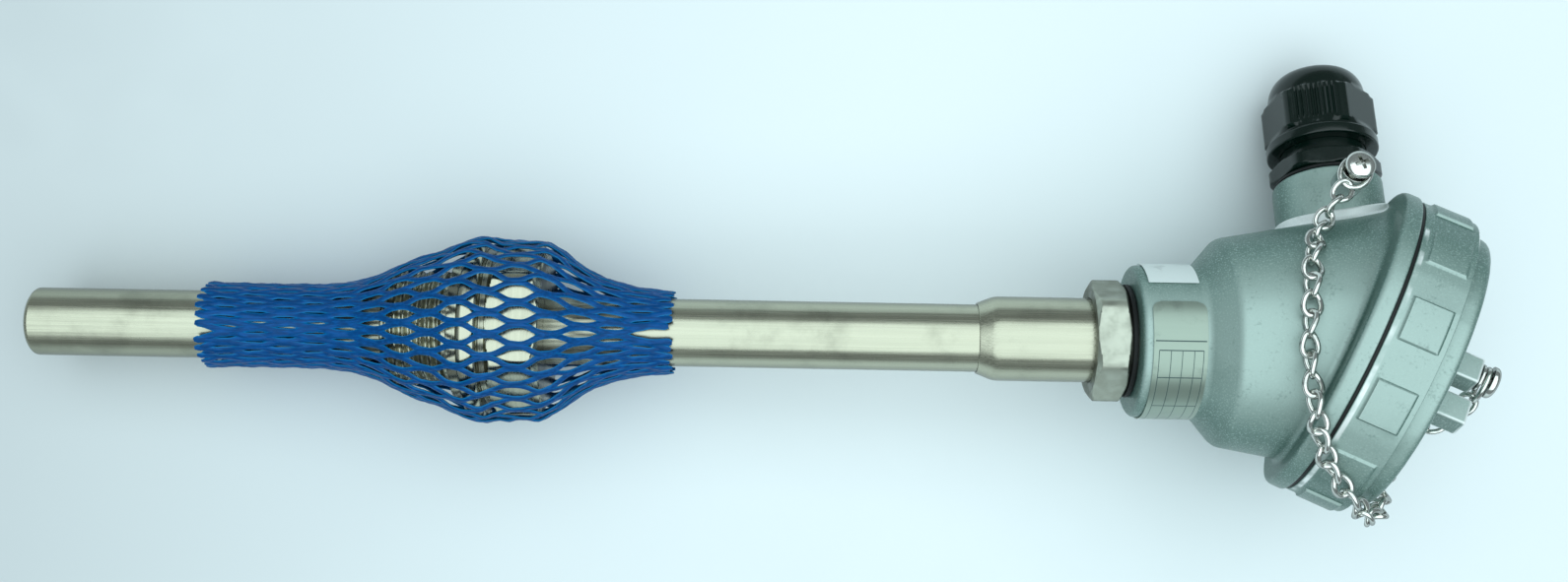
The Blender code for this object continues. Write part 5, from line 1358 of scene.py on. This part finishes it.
def chain_mesh(sizes):
    """The curb chain from the lug's screw to the post's screw, with its two end eyes."""
    wire = sizes.chain_wire
    joints = chain_joints(wire)
    head_middle = Vector((GLAND_CENTRE, 0, 0))
    bm = bmesh.new()
    for number, (start, end) in enumerate(zip(joints, joints[1:])):
        middle = (start + end) / 2
        along = (end - start).normalized()
        outward = middle - head_middle
        outward = (outward - along * outward.dot(along)).normalized()
        lean = (CHAIN_LEAN if number % 2 == 0 else -CHAIN_LEAN) + CHAIN_SWING * math.sin(number * 2.4)
        across = Matrix.Rotation(math.radians(lean), 3, along) @ outward
        half_length = ((end - start).length + wire - 0.0002) / 2
        half_width = (sizes.chain_width - wire) / 2
        add_link(bm, middle, along, across, half_length, half_width, wire, LINK_TWIST)
    for (middle, axis), joint in zip(chain_eyes(wire), (joints[0], joints[-1])):
        along = joint - middle
        along = (along - axis * along.dot(axis)).normalized()
        back = CHAIN_SHANK + 2 * SEAT_GAP + wire / 2
        half_length = (CHAIN_EYE_REACH + back) / 2
        place = middle + along * (CHAIN_EYE_REACH - half_length)
        add_link(bm, place, along, axis.cross(along), half_length, CHAIN_EYE_WIDTH / 2, wire, 0.0)
    return mesh_of("chain", bm)


# Operators


class SensorStep:
    """What the operators share: each builds its pieces from the sizes in the panel."""

    def execute(self, context):
        self.build(context.scene.sensor_sizes)
        return {"FINISHED"}


class SENSOR_OT_tube(SensorStep, bpy.types.Operator):
    """Adds the protection tube"""

    bl_idname = "sensor.add_tube"
    bl_label = "Protection Tube"

    def build(self, sizes):
        mesh = turned_mesh("protection_tube", tube_profile(), even_angles(128))
        piece("steel_tube", mesh, "tube_steel", ["protection_tube"])


class SENSOR_OT_fitting(SensorStep, bpy.types.Operator):
    """Adds the process fitting with its thread"""

    bl_idname = "sensor.add_fitting"
    bl_label = "Process Fitting"

    def build(self, sizes):
        piece("threaded_fitting", fitting_mesh(sizes), "turned_steel", ["process_fitting"], sharp=30.0)


class SENSOR_OT_net(SensorStep, bpy.types.Operator):
    """Adds the blue net over the fitting"""

    bl_idname = "sensor.add_net"
    bl_label = "Protective Net"

    def build(self, sizes):
        piece("protective_net", net_mesh(sizes), "net_plastic", ["net_sleeve"], sharp=60.0)


class SENSOR_OT_neck(SensorStep, bpy.types.Operator):
    """Adds the neck's sleeve, nut and gasket"""

    bl_idname = "sensor.add_neck"
    bl_label = "Neck"

    def build(self, sizes):
        sleeve = turned_mesh("neck_sleeve", sleeve_profile(), even_angles(128))
        piece("steel_sleeve", sleeve, "tube_steel", ["neck_sleeve"])
        piece("hexagon_nut", neck_nut_mesh(), "zinc_plate", ["neck_nut"], sharp=30.0)
        gasket = disc_mesh("neck_gasket", NECK_NUT_END + 0.0003, NECK_NUT_END + 0.0014, 0.0118, 0.0134, 0.0003)
        piece("neck_washer", gasket, "black_rubber", ["neck_gasket"])


class SENSOR_OT_head(SensorStep, bpy.types.Operator):
    """Adds the painted casting with the gland's boss and the chain's lug"""

    bl_idname = "sensor.add_head"
    bl_label = "Head Casting"

    def build(self, sizes):
        mesh = casting_mesh()
        foot = foot_finder(mesh)
        piece("head_casting", mesh, "sage_paint", ["head_body"], sharp=34.0)
        collar, boss = boss_meshes(foot)
        # The collar's near-white is partly a painted highlight on its fillet
        piece("boss_collar", collar, "pale_paint", place=gland_frame(), sharp=50.0)
        piece("gland_boss", boss, "sage_paint", place=gland_frame(), sharp=50.0)
        outline = [(0.009, LUG_RADIUS, 0), (LUG_REACH, LUG_RADIUS, 0.0005), (LUG_REACH, 0.0017, 0), (0.013, 0.0017, 0)]
        lug = turned_mesh("lug", soften(outline), even_angles(48))
        piece("chain_lug", lug, "sage_paint", place=gland_frame() @ lug_frame())


class SENSOR_OT_labels(SensorStep, bpy.types.Operator):
    """Adds the foil nameplate and the small sticker, both without lettering"""

    bl_idname = "sensor.add_labels"
    bl_label = "Labels"

    def build(self, sizes):
        low, high, radius = NECK_START + 0.002, NECK_END - 0.0005, NECK_RADIUS + 0.0002
        plate = label_mesh("nameplate", *PLATE_SPAN, low, high, radius, 0.0022)
        piece("foil_nameplate", plate, "plate_foil", ["nameplate"])
        film = label_mesh("sticker", *STICKER_SPAN, low, high - 0.0007, radius, 0.0003)
        piece("neck_label", film, "sticker_film", ["neck_sticker"])


class SENSOR_OT_cap(SensorStep, bpy.types.Operator):
    """Adds the screw cap, its posts and its seal"""

    bl_idname = "sensor.add_cap"
    bl_label = "Screw Cap"

    def build(self, sizes):
        piece("screw_cap", cap_mesh(sizes), "sage_paint", ["cap"], cap_frame(), "cap", 34.0)
        half = POST_SIDE / 2
        turn = Matrix.Rotation(math.radians(POST_ANGLE), 4, "X")
        for side, name in ((1, "post_with_screw"), (-1, "post_without_screw")):
            mesh = block_mesh(name, (CAP_TOP - 0.002, -half, -half), (POST_END, half, half), POST_BEVEL)
            piece(name, mesh, "sage_paint", (), cap_frame() @ post_frame(side) @ turn, "cap")
        seal = disc_mesh("cap_seal", -SEAL_HALF, SEAL_HALF, SEAL_BORE, SEAL_RADIUS, 0.0002, 168)
        piece("seal_ring", seal, "black_rubber", ["cap_seal"], cap_frame(), "cap_seal_ring")


class SENSOR_OT_gland(SensorStep, bpy.types.Operator):
    """Adds the nylon cable gland with its gasket and seal"""

    bl_idname = "sensor.add_gland"
    bl_label = "Cable Gland"

    def build(self, sizes):
        place, start = gland_frame(), BOSS_REACH + 0.0003
        gasket = disc_mesh("gland_gasket", start, start + 0.0008, 0.0094, 0.0125, 0.0003)
        piece("gland_washer", gasket, "black_rubber", ["gland_gasket"], place)
        piece("gland_hexagon", gland_body_mesh(), "black_nylon", ["gland_body"], place, sharp=30.0)
        nut = gland_nut_mesh(sizes)
        piece("gland_dome_nut", nut, "black_nylon", ["gland_nut"], place, "gland_nut", 32.0)
        end = GLAND_NECK_END + 0.0061
        rows = ((-0.0095, 0.005, 0), (-0.0095, 0.0066, 0), (0.0, 0.0066, 0.0004), (0.0, 0.005, 0.0006))
        outline = soften(moved(end, (*rows, (-0.0094, 0.005, 0))))
        seal = turned_mesh("gland_seal", outline, even_angles(72))
        piece("cable_seal", seal, "black_rubber", ["gland_seal"], place, "gland_clamp")


class SENSOR_OT_chain(SensorStep, bpy.types.Operator):
    """Adds the safety chain, its screws and its washers"""

    bl_idname = "sensor.add_chain"
    bl_label = "Safety Chain"

    def build(self, sizes):
        mesh = chain_mesh(sizes)
        chain = piece("safety_chain", mesh, "nickel_plate", ["chain"], body=None, sharp=60.0)
        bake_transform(chain)
        stack = WASHER_THICKNESS + sizes.chain_wire + 3 * SEAT_GAP
        rows = (
            ("head", "sensor", LUG_REACH, 0.0035, 0.0018, gland_frame() @ lug_frame()),
            ("cap", "cap", POST_END, 0.0039, 0.0021, cap_frame() @ post_frame(1)),
        )
        for side, body, face, radius, height, where in rows:
            under = face + stack
            outline = screw_profile(under, radius, height, CHAIN_SHANK, stack + 0.006)
            mesh = turned_mesh(f"{side}_screw", outline, even_angles(56))
            mesh = cut_mesh(mesh, cross_mesh(under + height, radius, 0.0012))
            piece(f"{side}_pan_screw", mesh, "nickel_plate", [f"{side}_chain_screw"], where, body)
            low, high = face + SEAT_GAP, face + SEAT_GAP + WASHER_THICKNESS
            outline = soften([(low, 0.0018, 0), (low, 0.0034, 0.0002), (high, 0.0034, 0.0002), (high, 0.0018, 0.0001)])
            outline.append((low + 0.0001, 0.0018))
            mesh = turned_mesh(f"{side}_washer", outline, even_angles(48))
            piece(f"{side}_flat_washer", mesh, "nickel_plate", [f"{side}_chain_washer"], where, body)


class SENSOR_OT_inside(SensorStep, bpy.types.Operator):
    """Finishes the parts inside the head, the tube and the gland"""

    bl_idname = "sensor.finish_inside"
    bl_label = "Inside Parts"

    def build(self, sizes):
        wanted = {
            "fired_ceramic": ["terminal_block", "ceramic_insulator", "sensor_element"],
            "turned_steel": ["insert_flange", "insert_sheath", "block_screw_1", "block_screw_2"],
            "black_nylon": ["gland_claws"],
            "brass": [],
            "tinned_copper": [],
        }
        for number in (1, 2, 3):
            wanted["brass"].append(f"terminal_{number}")
            wanted["turned_steel"].append(f"terminal_screw_{number}")
            wanted["tinned_copper"].append(f"lead_wire_{number}")
        for name, nodes in wanted.items():
            for node in nodes:
                give(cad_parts[node], name)


def area_lamp(name, place, aim, size, power, colour):
    light = bpy.data.lights.new(name, "AREA")
    light.shape = "RECTANGLE"
    light.size, light.size_y = size
    light.energy = power
    light.color = colour
    lamp = placed(name, light)
    lamp.location = place
    lamp.rotation_mode = "QUATERNION"
    lamp.rotation_quaternion = (Vector(aim) - Vector(place)).to_track_quat("-Z", "Y")


class SENSOR_OT_stage(bpy.types.Operator):
    """Adds the table, the light and the camera"""

    bl_idname = "sensor.add_stage"
    bl_label = "Stage"

    def execute(self, context):
        scene = context.scene
        studio = scene.sensor_studio
        bm = bmesh.new()
        bmesh.ops.create_grid(bm, x_segments=24, y_segments=24, size=3.0)
        table = placed("table", mesh_of("table", bm))
        table.location.z = -0.0002
        give(table, "table_top", studio)

        world = bpy.data.worlds.new("studio")
        world.use_nodes = True
        ground = world.node_tree.nodes["Background"]
        ground.inputs["Color"].default_value = (*studio.sky, 1.0)
        ground.inputs["Strength"].default_value = studio.sky_strength
        scene.world = world
        area_lamp("panel_above", (0.1, -0.05, 1.0), (0.1, 0.0, 0.0), (2.0, 2.3), studio.panel_power, studio.sky)

        camera = bpy.data.cameras.new("camera")
        camera.sensor_fit = "HORIZONTAL"
        camera.lens = camera.sensor_width * studio.camera_distance / studio.view_width
        camera.clip_start, camera.clip_end = 0.01, 20.0
        holder = placed("camera", camera)
        pitch, tilt = math.radians(REST_PITCH), math.radians(CAMERA_ROLL)
        back = Vector((-math.sin(pitch), 0.0, math.cos(pitch)))
        along = Vector((math.cos(pitch), 0.0, math.sin(pitch)))
        right = along * math.cos(tilt) + Vector((0, 1, 0)) * math.sin(tilt)
        up = back.cross(right)
        middle = stem_place() @ Vector((CAMERA_STATION, 0, 0)) + up * CAMERA_RISE
        place = middle + back * studio.camera_distance
        holder.matrix_world = Matrix(
            [(*(axis[i] for axis in (right, up, back)), place[i]) for i in range(3)] + [(0, 0, 0, 1)]
        )
        scene.camera = holder
        scene.view_settings.view_transform = "Standard"
        return {"FINISHED"}


class SENSOR_PT_panel(bpy.types.Panel):
    """Lists the sensor's settings and operators"""

    bl_label = "Temperature Sensor"
    bl_idname = "SENSOR_PT_panel"
    bl_space_type = "VIEW_3D"
    bl_region_type = "UI"
    bl_category = "Sensor"

    def draw(self, context):
        layout = self.layout
        for group in (context.scene.sensor_sizes, context.scene.sensor_colours, context.scene.sensor_studio):
            box = layout.box()
            for name in group.__annotations__:
                box.prop(group, name)
        for operator in OPERATORS:
            layout.operator(operator.bl_idname)


OPERATORS = (
    SENSOR_OT_tube,
    SENSOR_OT_fitting,
    SENSOR_OT_net,
    SENSOR_OT_neck,
    SENSOR_OT_head,
    SENSOR_OT_labels,
    SENSOR_OT_cap,
    SENSOR_OT_gland,
    SENSOR_OT_chain,
    SENSOR_OT_inside,
    SENSOR_OT_stage,
)
GROUPS = (SensorSizes, SensorColours, StudioSettings)


def register():
    for kind in GROUPS + OPERATORS + (SENSOR_PT_panel,):
        bpy.utils.register_class(kind)
    bpy.types.Scene.sensor_sizes = bpy.props.PointerProperty(type=SensorSizes)
    bpy.types.Scene.sensor_colours = bpy.props.PointerProperty(type=SensorColours)
    bpy.types.Scene.sensor_studio = bpy.props.PointerProperty(type=StudioSettings)


def unregister():
    del bpy.types.Scene.sensor_studio
    del bpy.types.Scene.sensor_colours
    del bpy.types.Scene.sensor_sizes
    for kind in reversed(GROUPS + OPERATORS + (SENSOR_PT_panel,)):
        bpy.utils.unregister_class(kind)


def main():
    register()
    bpy.ops.sensor.add_stage()
    bpy.ops.sensor.add_tube()
    bpy.ops.sensor.add_fitting()
    bpy.ops.sensor.add_net()
    bpy.ops.sensor.add_neck()
    bpy.ops.sensor.add_head()
    bpy.ops.sensor.add_labels()
    bpy.ops.sensor.add_cap()
    bpy.ops.sensor.add_gland()
    bpy.ops.sensor.add_chain()
    bpy.ops.sensor.finish_inside()


if __name__ == "__main__":
    main()
